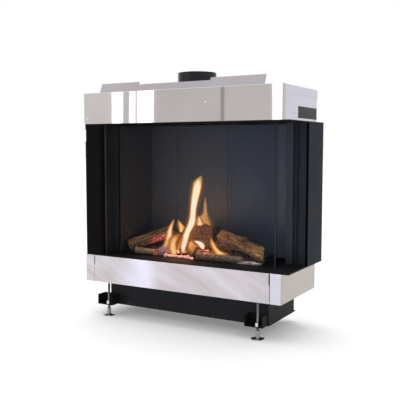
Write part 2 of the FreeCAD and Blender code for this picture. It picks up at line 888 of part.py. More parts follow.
def shutoff_valve():
    """Shut-off valve on the gas valve's left, with its threaded inlet and the lever's spindle."""
    end = Vector(valve_x - valve_w / 2, shutoff_y, valve_axis_z)
    start = end - rightward * shutoff_l
    body = bar(shutoff_r, start, end)
    nut = hexagon(shutoff_nut_across, start, start + rightward * shutoff_nut_l)
    hub = Vector(lever_x, shutoff_y, valve_axis_z)
    spindle = bar(spindle_r, hub, hub + up * (shutoff_r + fit_gap + lever_hub_h))
    bore = bar(inlet_r, start - rightward * overrun, start + rightward * inlet_l)
    return joined(body, nut, spindle).cut(bore)


def shutoff_lever():
    """Quarter-turn lever, in line with the pipe when it is open."""
    z0 = valve_axis_z + shutoff_r + fit_gap
    foot = Vector(lever_x, shutoff_y, z0)
    hub = bar(lever_hub_r, foot, foot + up * lever_hub_h)
    z1 = z0 + lever_hub_h
    arm_y = shutoff_y - lever_w / 2
    arm = block(lever_x - lever_l, lever_x, arm_y, arm_y + lever_w, z1 - lever_t, z1)
    bore = bar(spindle_r + pin_gap, foot - up * overrun, foot + up * (lever_hub_h + overrun))
    return joined(hub, arm).cut(bore)


# Pilot, behind the tray

pilot_x = chamber_x0 + pilot_x_share * chamber_w
pilot_y = tray_y1 + fit_gap
pilot_hood_y = pilot_y + pilot_hood_r


def pilot_bracket():
    """Angle bracket on the floor with the pilot's hood on its upright."""
    x0 = pilot_x - pilot_w / 2
    foot = block(x0, x0 + pilot_w, pilot_y, pilot_y + pilot_d, chamber_z, chamber_z + pilot_t)
    upright = block(x0, x0 + pilot_w, pilot_y, pilot_y + pilot_t, chamber_z, chamber_z + pilot_h)
    hood_z = chamber_z + pilot_h - pilot_hood_h
    axis = Vector(pilot_x, pilot_hood_y, hood_z)
    hood = pipe(pilot_hood_r, pilot_t, axis, axis + up * pilot_hood_h)
    return joined(foot, upright, hood)


def pilot_probes():
    """Spark electrode and thermocouple, on the bracket's foot at either side of the hood."""
    z0 = chamber_z + pilot_t
    offset = pilot_hood_r + 2 * probe_r
    feet = [Vector(pilot_x + side * offset, pilot_hood_y, z0) for side in (-1, 1)]
    return [bar(probe_r, probe_foot, probe_foot + up * probe_l) for probe_foot in feet]


# Logs, chips and embers

def log_place(x_share, depth_share, z):
    """A place among the logs."""
    edge = glass_y1 if depth_share > 0 else tray_y1
    return Vector(chamber_x0 + x_share * chamber_w, edge + depth_share * log_r, z)


def log_between(ends, seat_z):
    """Tapered log between two ends given in shares."""
    points = []
    for x_share, depth_share, rise_share, radius_share in ends:
        place = log_place(x_share, depth_share, seat_z + rise_share * log_r)
        points.append((place, radius_share * log_r))
    (start, start_r), (end, end_r) = points
    run = end - start
    return Part.makeCone(start_r, end_r, run.Length, start, run)


def log_set():
    """The logs on the bed, each cut to sit on the ones below it, and the logs on the ledge."""
    logs = {name: log_between(ends, bed_top_z) for name, ends in bed_log_shares.items()}
    for name in ("log_left", "log_right", "log_center"):
        logs[name] = logs[name].cut(logs["log_back"])
    logs.update({name: log_between(ends, chamber_z) for name, ends in ledge_log_shares.items()})
    return logs


def wood_chips():
    """Small wedges that lie on the ledge beside the front log."""
    chips = []
    for (x_share, depth_share), turn in zip(chip_shares, chip_turns_deg):
        place = log_place(x_share, depth_share, chamber_z)
        corners = [Vector(0, 0, 0), Vector(chip_w, 0, 0), Vector(chip_w / 2, 0, chip_h)]
        chip = prism(corners, backward * chip_d)
        chip.rotate(Vector(0, 0, 0), up, turn)
        chip.translate(place)
        chips.append(chip)
    return chips


def ember_bed(logs):
    """Layer of embers on the burner, inside the tray, hollowed where logs sink in."""
    return cut_all(tray_room(bed_z, bed_top_z), logs.values())


# Base

def base_left_corner():
    """Left front corner of the base."""
    line = [
        (left_x, deep(wrap)),
        (left_x, front_y),
        (seam_x0, front_y),
        (seam_x0, deep(corner_fold)),
    ]
    return folded(line, sheet, base_z, ledge_z)


def base_right_corner():
    """Right front corner of the base, carried on along its whole right side."""
    line = [
        (seam_x1, deep(corner_fold)),
        (seam_x1, front_y),
        (right_x, front_y),
        (right_x, back_y - sheet),
    ]
    return cut_all(folded(line, sheet, base_z, ledge_z), holes(base_side_screws))


def base_front_panel():
    """Removable panel with folded edges and a finger slit at the top of each end."""
    x0 = seam_x0 + seam_gap
    x1 = seam_x1 - seam_gap
    z1 = ledge_z - fit_gap
    face = block(x0, x1, front_y, deep(sheet), base_z, z1)
    fold_x0 = x0 + slit_w
    fold_x1 = x1 - slit_w
    bottom = block(fold_x0, fold_x1, deep(sheet), deep(panel_fold), base_z, base_z + sheet)
    top = block(fold_x0, fold_x1, deep(sheet), deep(panel_fold), z1 - sheet, z1)
    slit_z = ledge_z - slit_drop
    slits = [
        block(edge - slit_w, edge + slit_w, deep(-overrun), deep(overrun), slit_z - slit_h, slit_z)
        for edge in (x0, x1)
    ]
    return cut_all(joined(face, bottom, top), slits)


def base_floor():
    """Floor of the base, on the plinth."""
    y0 = deep(panel_fold + sheet)
    return block(left_x + 2 * sheet, right_x - sheet, y0, inside_back_y, base_z, floor_z)


# Plinth and feet

def plinth_front_plate():
    """Front of the plinth with a flange under the floor."""
    face = block(plinth_x0, plinth_x1, plinth_y0, plinth_y0 + frame_sheet, plinth_z, base_z)
    inner_y = plinth_y0 + frame_sheet
    x0 = plinth_x0 + frame_sheet
    x1 = plinth_x1 - frame_sheet
    flange = block(x0, x1, inner_y, inner_y + plinth_flange, base_z - frame_sheet, base_z)
    seam_x = plinth_x0 + plinth_seam_share * (plinth_x1 - plinth_x0)
    groove_y = plinth_y0 + frame_sheet / 2
    z0 = plinth_z - overrun
    z1 = base_z + overrun
    seam = block(seam_x, seam_x + seam_gap, plinth_y0 - overrun, groove_y, z0, z1)
    return cut_all(joined(face, flange), [seam] + holes(plinth_screws))


def plinth_frame():
    """Sides and back of the plinth in one folded piece, with fixing holes and a tab at the right rear."""
    inner_y = plinth_y0 + frame_sheet
    line = [
        (plinth_x1, inner_y),
        (plinth_x1, plinth_y1),
        (plinth_x0, plinth_y1),
        (plinth_x0, inner_y),
    ]
    frame = folded(line, frame_sheet, plinth_z, base_z, tight_bend_share)
    tab_x1 = plinth_x1 - frame_sheet
    tab_y0 = plinth_y1 - frame_sheet
    tab_y1 = plinth_y1 + plinth_tab_l
    tab = block(tab_x1 - plinth_tab_w, tab_x1, tab_y0, tab_y1, plinth_z, plinth_z + frame_sheet)
    hole_z = plinth_z + plinth_hole_rise_share * plinth_h
    hole_y = (plinth_y0 + plinth_y1) / 2
    cutters = []
    for y in (hole_y - plinth_hole_spacing / 2, hole_y + plinth_hole_spacing / 2):
        start = Vector(plinth_x0 - overrun, y, hole_z)
        cutters.append(bar(plinth_hole_r, start, Vector(plinth_x1 + overrun, y, hole_z)))
    return cut_all(joined(frame, tab), cutters)


def foot_bracket(rod_place):
    """Welded bracket on the plinth's plate: a sole with the rod's hole, a back and two cheeks."""
    x0 = -bracket_rod_share * bracket_w
    x1 = x0 + bracket_w
    back = foot_reach
    front = back - bracket_d
    z1 = bracket_z + bracket_h
    sole = block(x0, x1, front, back, bracket_z, sole_z)
    wall = block(x0, x1, back - bracket_t, back, sole_z, z1)
    cheeks = [block(x, x + bracket_t, front, back, sole_z, z1) for x in (x0, x1 - bracket_t)]
    hole = bar(rod_r + fit_gap, up * (bracket_z - overrun), up * (sole_z + overrun))
    bracket = joined(sole, wall, *cheeks).cut(hole)
    bracket.translate(rod_place)
    return bracket


def foot(rod_place):
    """Levelling foot: a pad with a socket, and the threaded rod that stands in it."""
    profile = [
        Vector(0, 0, 0),
        Vector(pad_r, 0, 0),
        Vector(pad_r, 0, pad_edge_h),
        Vector(socket_r, 0, pad_h),
        Vector(socket_r, 0, socket_h),
        Vector(rod_r, 0, socket_h),
        Vector(rod_r, 0, pad_h),
        Vector(0, 0, pad_h),
    ]
    pad = Part.Face(Part.makePolygon(profile + profile[:1])).revolve(Vector(0, 0, 0), up, 360)
    rod = bar(rod_r, up * pad_h, up * rod_top)
    pieces = [pad, rod]
    for piece in pieces:
        piece.translate(rod_place)
    return pieces


def lock_nut(rod_place):
    """Tall nut on a bracket's sole."""
    nut = hexagon(nut_across, rod_place + up * sole_z, rod_place + up * (sole_z + nut_h))
    return nut.cut(bar(rod_r + fit_gap, rod_place, rod_place + up * rod_top))


front_rod_y = plinth_y0 - foot_reach
rear_rod_y = plinth_y1 - frame_sheet - foot_reach
foot_places = {
    "foot_front_left": Vector(plinth_x0 + left_foot_inset, front_rod_y, 0),
    "foot_front_right": Vector(plinth_x1 - right_foot_inset, front_rod_y, 0),
    "foot_rear_left": Vector(plinth_x0 + rear_foot_inset, rear_rod_y, 0),
    "foot_rear_right": Vector(plinth_x1 - rear_foot_inset, rear_rod_y, 0),
}


def save(name, *solids):
    """One file for one piece, or for a group of like pieces."""
    shape = solids[0] if len(solids) == 1 else Part.makeCompound(solids)
    shape.exportStep("parts/" + name + ".step")


os.makedirs("parts", exist_ok=True)

save("shroud_front", shroud_front())
save("shroud_side", shroud_side())
save("shroud_lid", *shroud_lid())
save("left_casing", left_casing())
save("rear_panel", rear_panel())
save("heat_deflector", heat_deflector())
save("data_plate", data_plate())
save("casing_screws", *casing_screws())

save("flue_outer_spigot", *flue_outer_spigot())
save("flue_inner_spigot", *flue_inner_spigot())
save("flue_spacers", *flue_spacers())

save("front_glass", front_glass())
save("side_glass", side_glass())
save("corner_seal", corner_seal())
save("bottom_glass_channels", *bottom_glass_channels())
save("top_glass_channels", *top_glass_channels())

save("top_plate", top_plate())
save("bottom_ledge", bottom_ledge())
save("left_jamb", left_jamb())
save("left_glass_clamp", left_glass_clamp())
save("side_glass_clamp", side_glass_clamp())
save("right_jamb", right_jamb())
save("right_rear_panel", right_rear_panel())
save("firebox_shell", firebox_shell())
save("side_liners", *side_liners())
save("back_liners", *back_liners())
save("relief_hatch", relief_hatch())
save("hatch_bracket", hatch_bracket())

save("burner_tray", burner_tray())
save("burner", burner())
save("injector", injector())
save("gas_manifold", gas_manifold())
save("gas_valve", gas_valve())
save("control_knob", control_knob())
save("pilot_button", pilot_button())
save("shutoff_valve", shutoff_valve())
save("shutoff_lever", shutoff_lever())
save("pilot_bracket", pilot_bracket())
save("pilot_probes", *pilot_probes())

all_logs = log_set()
for log_name, log in all_logs.items():
    save(log_name, log)
save("wood_chips", *wood_chips())
save("ember_bed", ember_bed(all_logs))

save("base_left_corner", base_left_corner())
save("base_right_corner", base_right_corner())
save("base_front_panel", base_front_panel())
save("base_floor", base_floor())

save("plinth_front", plinth_front_plate())
save("plinth_frame", plinth_frame())
save("foot_brackets", *[foot_bracket(place) for place in foot_places.values()])
save("lock_nuts", *[lock_nut(place) for place in foot_places.values()])
for foot_name, place in foot_places.items():
    save(foot_name, *foot(place))
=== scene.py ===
# %% [markdown]
# # A built-in gas fireplace, dressed for its picture
# The metalwork of this fireplace comes from its construction model: a steel casing, black plates,
# two panes of glass, a flue spigot and four levelling feet. This lesson loads that model as a fixed
# frame and gives it what a construction model lacks: grain on the steel, bark on the logs, embers and fire.

# %% Load the frame
import bpy
import math
import random
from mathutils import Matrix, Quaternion, Vector


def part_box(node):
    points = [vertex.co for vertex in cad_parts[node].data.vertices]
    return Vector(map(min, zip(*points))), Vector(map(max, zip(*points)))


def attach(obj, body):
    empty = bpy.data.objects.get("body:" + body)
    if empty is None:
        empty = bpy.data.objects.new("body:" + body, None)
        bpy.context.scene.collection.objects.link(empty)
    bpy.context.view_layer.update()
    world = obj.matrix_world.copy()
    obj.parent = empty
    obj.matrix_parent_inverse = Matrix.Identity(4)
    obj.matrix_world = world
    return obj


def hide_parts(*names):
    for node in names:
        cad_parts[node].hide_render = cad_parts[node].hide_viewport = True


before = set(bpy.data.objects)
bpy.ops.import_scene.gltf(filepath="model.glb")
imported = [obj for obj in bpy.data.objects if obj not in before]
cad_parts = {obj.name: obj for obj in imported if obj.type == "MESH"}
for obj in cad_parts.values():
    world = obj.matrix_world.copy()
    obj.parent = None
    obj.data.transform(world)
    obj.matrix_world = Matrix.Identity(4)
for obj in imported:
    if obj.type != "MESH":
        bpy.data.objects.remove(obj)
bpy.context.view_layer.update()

# %% [markdown]
# ## Camera
# The picture was taken from the front right, at about two thirds of the casing's height. The place, the
# turn and the focal length were worked out from the casing's straight edges, so they are plain numbers.

# %% Camera
scene = bpy.context.scene
tilt_down = 4.668
turn_left = 30.146
eye = bpy.data.cameras.new("camera")
eye.sensor_width = 36.0
eye.lens = 57.85
camera = bpy.data.objects.new("camera", eye)
camera.location = (1.2694, -2.1887, 0.6831)
camera.rotation_euler = (math.radians(90 - tilt_down), 0, math.radians(turn_left))
scene.collection.objects.link(camera)
scene.camera = camera
scene.view_settings.view_transform = "Standard"
print("camera at", tuple(camera.location))

# %% [markdown]
# ## Node helpers
# Every finish below is a small net of shader nodes. One helper sets a node up: a name with a capital letter
# is a socket, any other name is a setting of the node itself. The others add a node and join two sockets.
# A node or a socket knows its net, as id_data, so they find the net by themselves.

# %% Node helpers
def set_up(node, **values):
    for name, value in values.items():
        if name[0].isupper():
            node.inputs[name.replace("_", " ")].default_value = value
        else:
            setattr(node, name, value)
    return node


def add(beside, kind, **values):
    """A new node in the net that a node or socket belongs to."""
    return set_up(beside.id_data.nodes.new("ShaderNode" + kind), **values)


def join(source, target):
    source.id_data.links.new(source, target)


print("node helpers ready")

# %% [markdown]
# ## Floor
# The fireplace stands on a pale floor. The floor is ordinary matt paint that also shines a little to whoever
# looks at it, so it reads as white paper and still keeps the shadow. Light that comes by way of polished
# metal or through glass counts as looking, so that the steel shows the same white floor.

# %% Floor
floor_size = 60
floor_shine = 0.175


def seen_directly(net):
    path = add(net, "LightPath")
    seen = path.outputs["Is Camera Ray"]
    for other in ("Is Glossy Ray", "Is Transmission Ray"):
        either = add(net, "Math", operation="MAXIMUM")
        join(seen, either.inputs[0])
        join(path.outputs[other], either.inputs[1])
        seen = either.outputs[0]
    return seen


def deselect():
    bpy.ops.object.select_all(action="DESELECT")


deselect()
bpy.ops.mesh.primitive_plane_add(size=floor_size)
floor = bpy.context.object
floor.name = "floor"
paper = bpy.data.materials.new("floor_paper")
paper.use_nodes = True
net = paper.node_tree
net.nodes.remove(net.nodes["Principled BSDF"])
matt = add(net, "BsdfDiffuse", Color=(0.9, 0.9, 0.9, 1))
shine = add(net, "Emission", Color=(1, 1, 1, 1))
level = add(net, "Math", operation="MULTIPLY")
level.inputs[1].default_value = floor_shine
join(seen_directly(net), level.inputs[0])
join(level.outputs[0], shine.inputs["Strength"])
both = add(net, "AddShader")
join(matt.outputs[0], both.inputs[0])
join(shine.outputs[0], both.inputs[1])
join(both.outputs[0], net.nodes["Material Output"].inputs["Surface"])
floor.data.materials.append(paper)
print("floor", floor_size, "m across")

# %% [markdown]
# ## Room and sun
# The room is plain white. It is seen at full white and lights at about two thirds of that, so that pale
# surfaces don't clip. One wide soft sun from above does the rest, and lays the shadow under the casing.

# %% Room
air_strength = 0.65
room = bpy.data.worlds.new("white_room")
scene.world = room
room.use_nodes = True
net = room.node_tree
air = set_up(net.nodes["Background"], Color=(1, 1, 1, 1), Strength=air_strength)
backdrop = add(net, "Background", Color=(1, 1, 1, 1), Strength=1.0)
choose = add(net, "MixShader")
join(seen_directly(net), choose.inputs["Fac"])
join(air.outputs[0], choose.inputs[1])
join(backdrop.outputs[0], choose.inputs[2])
join(choose.outputs[0], net.nodes["World Output"].inputs["Surface"])
print("room lights at", air_strength)

# %% Sun
def lamp(name, kind, energy, place, aim, **values):
    light = bpy.data.lights.new(name, kind)
    light.energy = energy
    for key, value in values.items():
        setattr(light, key, value)
    holder = bpy.data.objects.new(name, light)
    holder.location = place
    holder.rotation_euler = (Vector(aim) - Vector(place)).to_track_quat("-Z", "Y").to_euler()
    scene.collection.objects.link(holder)
    return holder


sun = lamp("overhead", "SUN", 1.6, (-0.5, 0.4, 3), (0, 0, 0), angle=math.radians(60))
print(sun.name, "sun of", round(sun.data.energy, 2))

# %% [markdown]
# ## Strip lights
# Polished steel shows what stands in front of it, so it needs something to show. Tall strip lights stand far
# off at the front left. They are there to be mirrored and light no matt surface, so the plain level of the
# light stays as it is. A slim dark card between them gives the steel one soft dark stripe.

# %% Strip lights
strip_y = -5.0
strip_top = 3.0
for name, x0, x1, z0, glow in (
    ("strip_faint", -5.20, -4.08, 0.55, 0.5),
    ("strip_far", -4.065, -3.885, 0.55, 8.0),
    ("strip_near", -3.775, -3.685, 0.77, 8.0),
    ("strip_next", -3.650, -3.40, 0.77, 8.0),
    ("strip_edge", -1.75, -1.56, 1.0, 8.0),
):
    width, height = x1 - x0, strip_top - z0
    middle = ((x0 + x1) / 2, strip_y, (z0 + strip_top) / 2)
    strip = lamp(name, "AREA", glow * width * height, middle, (middle[0], 0, middle[2]))
    strip.data.shape = "RECTANGLE"
    strip.data.size = width
    strip.data.size_y = height
    strip.visible_camera = False
    strip.visible_diffuse = False
print("strip lights at y", strip_y)

# %% Dark card
def settle():
    """Puts the active object's place, turn and size into its mesh."""
    bpy.ops.object.transform_apply(location=True, rotation=True, scale=True)


card_width, card_height = 0.05, 2.2
card_grey = 0.6
deselect()
bpy.ops.mesh.primitive_plane_add(size=1, rotation=(math.radians(90), 0, 0))
card = bpy.context.object
card.name = "dark_card"
card.scale = (card_width, card_height, 1)
card.location = (-2.40, strip_y, 1.95)
settle()
felt = bpy.data.materials.new("card_felt")
felt.use_nodes = True
set_up(felt.node_tree.nodes["Principled BSDF"], Base_Color=(*(card_grey,) * 3, 1))
card.data.materials.append(felt)
card.visible_camera = False
card.visible_diffuse = False
card.visible_shadow = False
print("card of", card_width, "by", card_height, "m")

# %% [markdown]
# ## Finish helpers
# A finish starts from the Principled shader and the Object coordinates, in which the patterns are laid out,
# so that they keep to the piece. A value that is the same all over is set on the shader's socket, and a
# pattern is fed into it. To dress a node is to put a finish in its slots.

# %% Starting a finish
def start_finish(name, **values):
    finish = bpy.data.materials.new(name)
    finish.use_nodes = True
    shader = set_up(finish.node_tree.nodes["Principled BSDF"], **values)
    place = add(shader, "TexCoord").outputs["Object"]
    return finish, shader, place


def feed(shader, **sources):
    for socket, source in sources.items():
        join(source, shader.inputs[socket.replace("_", " ")])


def dress(finish, *nodes):
    for name in nodes:
        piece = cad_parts[name]
        if not piece.material_slots:
            piece.data.materials.append(finish)
        for slot in piece.material_slots:
            slot.material = finish
    print(finish.name, "on", ", ".join(nodes))


print("finish helpers ready")

# %% [markdown]
# Nearly every pattern here is a noise, stretched along the way the material was worked. Noise values crowd
# round one half, so a pattern is spread from 0.3 to 0.7 unless another range is given. The same pattern often
# drives colour, roughness and relief together, because on a real surface they go together.

# %% Patterns
def grain(place, scale, stretch=(1, 1, 1), detail=4.0, rough=0.6):
    laid = add(place, "Mapping", Scale=stretch)
    join(place, laid.inputs["Vector"])
    noise = add(place, "TexNoise", Scale=scale, Detail=detail, Roughness=rough)
    join(laid.outputs["Vector"], noise.inputs["Vector"])
    return noise.outputs["Fac"]


def shades(factor, *stops):
    ramp = add(factor, "ValToRGB")
    elements = ramp.color_ramp.elements
    while len(elements) < len(stops):
        elements.new(0.5)
    for element, (position, colour) in zip(elements, stops):
        element.position = position
        element.color = (*colour, 1)
    join(factor, ramp.inputs["Fac"])
    return ramp.outputs["Color"]


def between(factor, low, high):
    return shades(factor, (0.3, low), (0.7, high))


def dimmed(colour, share):
    return tuple(share * v for v in colour)


def worn(factor, colour, share):
    """A colour, dimmed to a share of itself where the pattern is low."""
    return between(factor, dimmed(colour, share), colour)


def spread(factor, low=0.0, high=1.0, start=0.3, end=0.7):
    fitted = add(factor, "MapRange", From_Min=start, From_Max=end, To_Min=low, To_Max=high)
    join(factor, fitted.inputs["Value"])
    return fitted.outputs["Result"]


def relief(shader, height, depth):
    bump = add(shader, "Bump", Strength=1.0, Distance=depth)
    join(height, bump.inputs["Height"])
    join(bump.outputs["Normal"], shader.inputs["Normal"])


print("patterns: grain, shades, between, worn, spread, relief")

# %% [markdown]
# A finish that changes from place to place needs masks, from the coordinates or from the way a face points.
# A band rises and falls again, two masks are multiplied where both must hold, and a mask then blends one
# colour into another.

# %% Masks
def axis_of(vector, letter):
    parts = add(vector, "SeparateXYZ")
    join(vector, parts.inputs[0])
    return parts.outputs[letter]


def facing(shader, letter):
    return axis_of(add(shader, "NewGeometry").outputs["Normal"], letter)


def times(first, second):
    product = add(first, "Math", operation="MULTIPLY")
    join(first, product.inputs[0])
    join(second, product.inputs[1])
    return product.outputs[0]


def band(value, start, full, ebb, end):
    rising = spread(value, 0.0, 1.0, start, full)
    falling = spread(value, 1.0, 0.0, ebb, end)
    return times(rising, falling)


def added(first, share, second):
    """A share of the first value on top of the second."""
    total = add(first, "Math", operation="MULTIPLY_ADD")
    total.inputs[1].default_value = share
    join(first, total.inputs[0])
    join(second, total.inputs[2])
    return total.outputs[0]


def blend(factor, first, second):
    mixed = add(factor, "MixRGB")
    join(factor, mixed.inputs["Fac"])
    join(first, mixed.inputs["Color1"])
    join(second, mixed.inputs["Color2"])
    return mixed.outputs["Color"]


print("masks: axis_of, facing, times, band, added, blend")

# %% [markdown]
# ## Bright steel
# The shroud round the top is bright rolled stainless steel, nearly a mirror and not quite flat, so its
# reflections wobble. It is a metal shader with a fine noise for the rolled grain, a slow one for the drift
# of the colour, and a very low wave as relief. The side sheet is duller and has a line of painted shade at
# its fold.

# %% Bright steel
fold_core, fold_edge = 0.0006, 0.0012


def steel(name, dark, light, smooth, matt, wave, fold=None):
    finish, shader, place = start_finish(name, Metallic=1.0)
    rolled = grain(place, 40.0, stretch=(0.6, 0.6, 30.0))
    cloud = grain(place, 3.0)
    tone = shades(added(rolled, 0.35, cloud), (0.45, dark), (0.95, light))
    # A thin band of painted shade darkens the fold.
    if fold:
        height = axis_of(place, "Z")
        line = band(height, fold - fold_edge, fold - fold_core, fold + fold_core, fold + fold_edge)
        fold_shade = between(rolled, dimmed(dark, 0.55), dimmed(dark, 0.7))
        tone = blend(line, tone, fold_shade)
    feed(shader, Base_Color=tone, Roughness=spread(rolled, smooth, matt))
    relief(shader, grain(place, 5.0, detail=1.0), depth=wave)
    return finish


dress(steel("shroud_steel", (0.445, 0.415, 0.405), (0.51, 0.475, 0.465),
            smooth=0.018, matt=0.035, wave=0.00012), "shroud_front", "left_casing")
dress(steel("side_steel", (0.53, 0.52, 0.60), (0.60, 0.585, 0.67),
            smooth=0.12, matt=0.2, wave=0.0003, fold=0.8667), "shroud_side")
dress(steel("deflector_steel", (0.42, 0.39, 0.415), (0.49, 0.45, 0.48),
            smooth=0.16, matt=0.26, wave=0.0003), "heat_deflector")

# %% [markdown]
# ## Wiped steel
# The base is steel that was wiped by hand: satin, with long slanting streaks of cream and cool white, and
# one paler zone left of the middle, a painted reflection. The streaks are noise on coordinates that are
# turned first and stretched after that, because a stretch that comes first would leave them level. The ends
# face another way and take their own, warmer colour, a painted reflection, with painted shade in the seam
# where they meet the front. The right corner's copy is lighter and more lavender on its front and darker
# on its end, also painted reflection.

# %% Wiped steel
wipe_lean = math.radians(-25)
reflection_band = (-0.27, -0.13, -0.10, -0.045)
seam_start, seam_end = -0.1668, -0.1655


def wiped_steel(name, cream, cool, bright, reflection_tint, side_reflection):
    finish, shader, place = start_finish(name, Metallic=1.0)
    turned = add(place, "VectorRotate", rotation_type="Y_AXIS", Angle=wipe_lean)
    join(place, turned.inputs["Vector"])
    leaning = turned.outputs["Vector"]
    streak = grain(leaning, 9.0, stretch=(0.35, 1.0, 4.5), detail=5.0)
    wipe = grain(leaning, 5.0, stretch=(0.8, 1.0, 2.6), detail=2.0)
    tone = shades(streak, (0.3, cream), (0.5, cool), (0.72, bright))
    drift = shades(wipe, (0.35, cream), (0.65, bright))
    front = blend(spread(streak, 0.45, 0.75), tone, drift)
    ragged_x = added(streak, 0.09, axis_of(place, "X"))
    # Painted reflection: a paler band left of the middle of the front.
    front = blend(band(ragged_x, *reflection_band), front, worn(streak, reflection_tint, 0.93))
    # Painted shade in the seam at the front of the ends, and a warmer painted reflection on the ends.
    gap = between(streak, (0.10, 0.09, 0.085), (0.16, 0.15, 0.14))
    past_seam = spread(axis_of(place, "Y"), start=seam_start, end=seam_end)
    ends = blend(past_seam, gap, worn(streak, side_reflection, 0.94))
    sideways = spread(facing(shader, "X"), start=0.5, end=0.8)
    feed(shader, Base_Color=blend(sideways, front, ends), Roughness=spread(streak, 0.2, 0.3))
    relief(shader, streak, depth=0.0002)
    return finish


dress(wiped_steel(
    "base_steel", cream=(0.465, 0.422, 0.415), cool=(0.54, 0.505, 0.54), bright=(0.645, 0.615, 0.675),
    reflection_tint=(0.76, 0.74, 0.88), side_reflection=(0.45, 0.41, 0.37)), "base_front_panel", "base_left_corner")
# The right corner's copy: lighter and more lavender on its front, darker on its end, as painted reflection.
dress(wiped_steel(
    "corner_steel", cream=(0.56, 0.54, 0.61), cool=(0.61, 0.59, 0.68), bright=(0.68, 0.665, 0.78),
    reflection_tint=(0.68, 0.665, 0.78), side_reflection=(0.40, 0.363, 0.33)), "base_right_corner")

# %% [markdown]
# ## Zinc
# The sheets that nobody polishes are galvanised: the zinc sets in spangles, each a flat crystal with its
# own shade. Voronoi cells give just that, and a fine noise is the frost on the crystals. The lid is duller,
# and its turned-down skirt is given the colour of the shroud's side as a painted reflection. Nuts and
# probes are plated like steel.

# %% Zinc sheets
def galvanised(name, dark, light, skirt_reflection=None):
    finish, shader, place = start_finish(name, Metallic=1.0)
    spangle = add(place, "TexVoronoi", Scale=190.0)
    join(place, spangle.inputs["Vector"])
    leaf = axis_of(spangle.outputs["Color"], "X")
    frost = grain(place, 300.0, detail=3.0)
    bloom = added(frost, 0.3, leaf)
    tone = shades(bloom, (0.1, dark), (1.0, light))
    # Painted reflection: faces that do not point up take the colour of the shroud's side.
    if skirt_reflection:
        upward = spread(facing(shader, "Z"), start=0.5, end=0.8)
        tone = blend(upward, worn(frost, skirt_reflection, 0.95), tone)
    feed(shader, Base_Color=tone, Roughness=spread(bloom, 0.38, 0.46, 0.1, 1.1))
    relief(shader, frost, depth=0.00004)
    return finish


dress(galvanised("zinc_sheet", (0.47, 0.48, 0.50), (0.545, 0.555, 0.575)),
      "rear_panel", "base_floor", "hatch_bracket", "relief_hatch", "top_glass_channels",
      "bottom_glass_channels", "flue_inner_spigot", "flue_spacers", "burner", "pilot_bracket")
dress(galvanised("lid_zinc", (0.37, 0.375, 0.39), (0.44, 0.445, 0.46), skirt_reflection=(0.59, 0.585, 0.67)),
      "shroud_lid")
dress(steel("zinc_plate", (0.62, 0.63, 0.66), (0.82, 0.82, 0.84), smooth=0.10, matt=0.2, wave=0.0001),
      "lock_nuts", "pilot_probes")

# %% [markdown]
# All the small screws are one node. Those in the steel are zinc-plated, those low in the plinth are painted
# over with it, so the finish changes from paint to metal at a height between the two.

# %% Screws
painted_below, bare_above = 0.139, 0.141
screw_zinc, shader, place = start_finish("screw_zinc")
fleck = grain(place, 400.0)
plated = between(fleck, (0.55, 0.55, 0.56), (0.75, 0.75, 0.77))
painted = between(fleck, (0.006, 0.006, 0.007), (0.014, 0.014, 0.016))
in_steel = spread(axis_of(place, "Z"), start=painted_below, end=bare_above)
feed(shader, Base_Color=blend(in_steel, painted, plated), Metallic=in_steel,
     Roughness=spread(fleck, 0.18, 0.32))
dress(screw_zinc, "casing_screws")

# %% [markdown]
# ## Black paint
# The plates, jambs, plinth and flue are coated with heat-proof black paint. It is satin, with a faint
# orange-peel skin, and slightly dusty in places, so both colour and gloss drift a little. The plates round
# the fire are the blackest, as painted shade, the parts on the right are a touch bluer, as painted
# reflection, and the flue pipe is the glossiest. The plinth's front is a bluish black and its frame and the
# foot brackets a brownish one, also painted reflection.
# A row gives a paint's dark and light colour, its roughness where smooth and where matt, and its gloss.

# %% Black paint
def paint(name, dark, light, smooth, matt, gloss):
    finish, shader, place = start_finish(name, Specular_IOR_Level=gloss)
    dust = grain(place, 9.0, detail=6.0)
    feed(shader, Base_Color=shades(dust, (0.35, dark), (0.75, light)),
         Roughness=spread(dust, smooth, matt))
    relief(shader, grain(place, 900.0, detail=2.0), depth=0.00003)
    return finish


def dress_all(maker, *rows):
    for *values, nodes in rows:
        dress(maker(*values), *nodes)


# Painted shade and reflection: these copies of one black paint differ in shade and tint by where each part
# sits.
dress_all(
    paint,
    ("plate_black", (0.004, 0.004, 0.0045), (0.008, 0.008, 0.009), 0.35, 0.45, 0.04,
     ("top_plate", "firebox_shell", "burner_tray")),
    ("ledge_black", (0.009, 0.009, 0.010), (0.015, 0.015, 0.017), 0.3, 0.4, 0.05, ("bottom_ledge",)),
    ("frame_black", (0.014, 0.0145, 0.0175), (0.022, 0.0225, 0.026), 0.35, 0.45, 0.08, ("plinth_front",)),
    ("rail_black", (0.010, 0.0093, 0.0085), (0.016, 0.015, 0.0138), 0.4, 0.5, 0.05,
     ("plinth_frame", "foot_brackets")),
    ("clamp_black", (0.036, 0.042, 0.056), (0.050, 0.057, 0.074), 0.3, 0.4, 0.12, ("side_glass_clamp",)),
    ("panel_black", (0.009, 0.011, 0.021), (0.013, 0.016, 0.028), 0.4, 0.5, 0.03, ("right_rear_panel",)),
    ("flue_black", (0.007, 0.007, 0.010), (0.012, 0.012, 0.016), 0.22, 0.3, 0.24, ("flue_outer_spigot",)),
    ("plate_grey", (0.030, 0.029, 0.029), (0.042, 0.041, 0.041), 0.35, 0.45, 0.1, ("data_plate",)),
    ("seal_silicone", (0.030, 0.032, 0.036), (0.048, 0.050, 0.056), 0.4, 0.6, 0.2, ("corner_seal",)),
)

# %% [markdown]
# The folded edges of the left jamb and of the glass clamp beside it carry a painted highlight, a paler
# mottled strip, and the clamp's black is lighter than the jamb's, as painted light. The fold is picked out
# by where it lies: past a certain X, and in front of a certain Y. On the right jamb the same trick gives the
# far edge, which lies in a gap, a painted shadow in flat black.

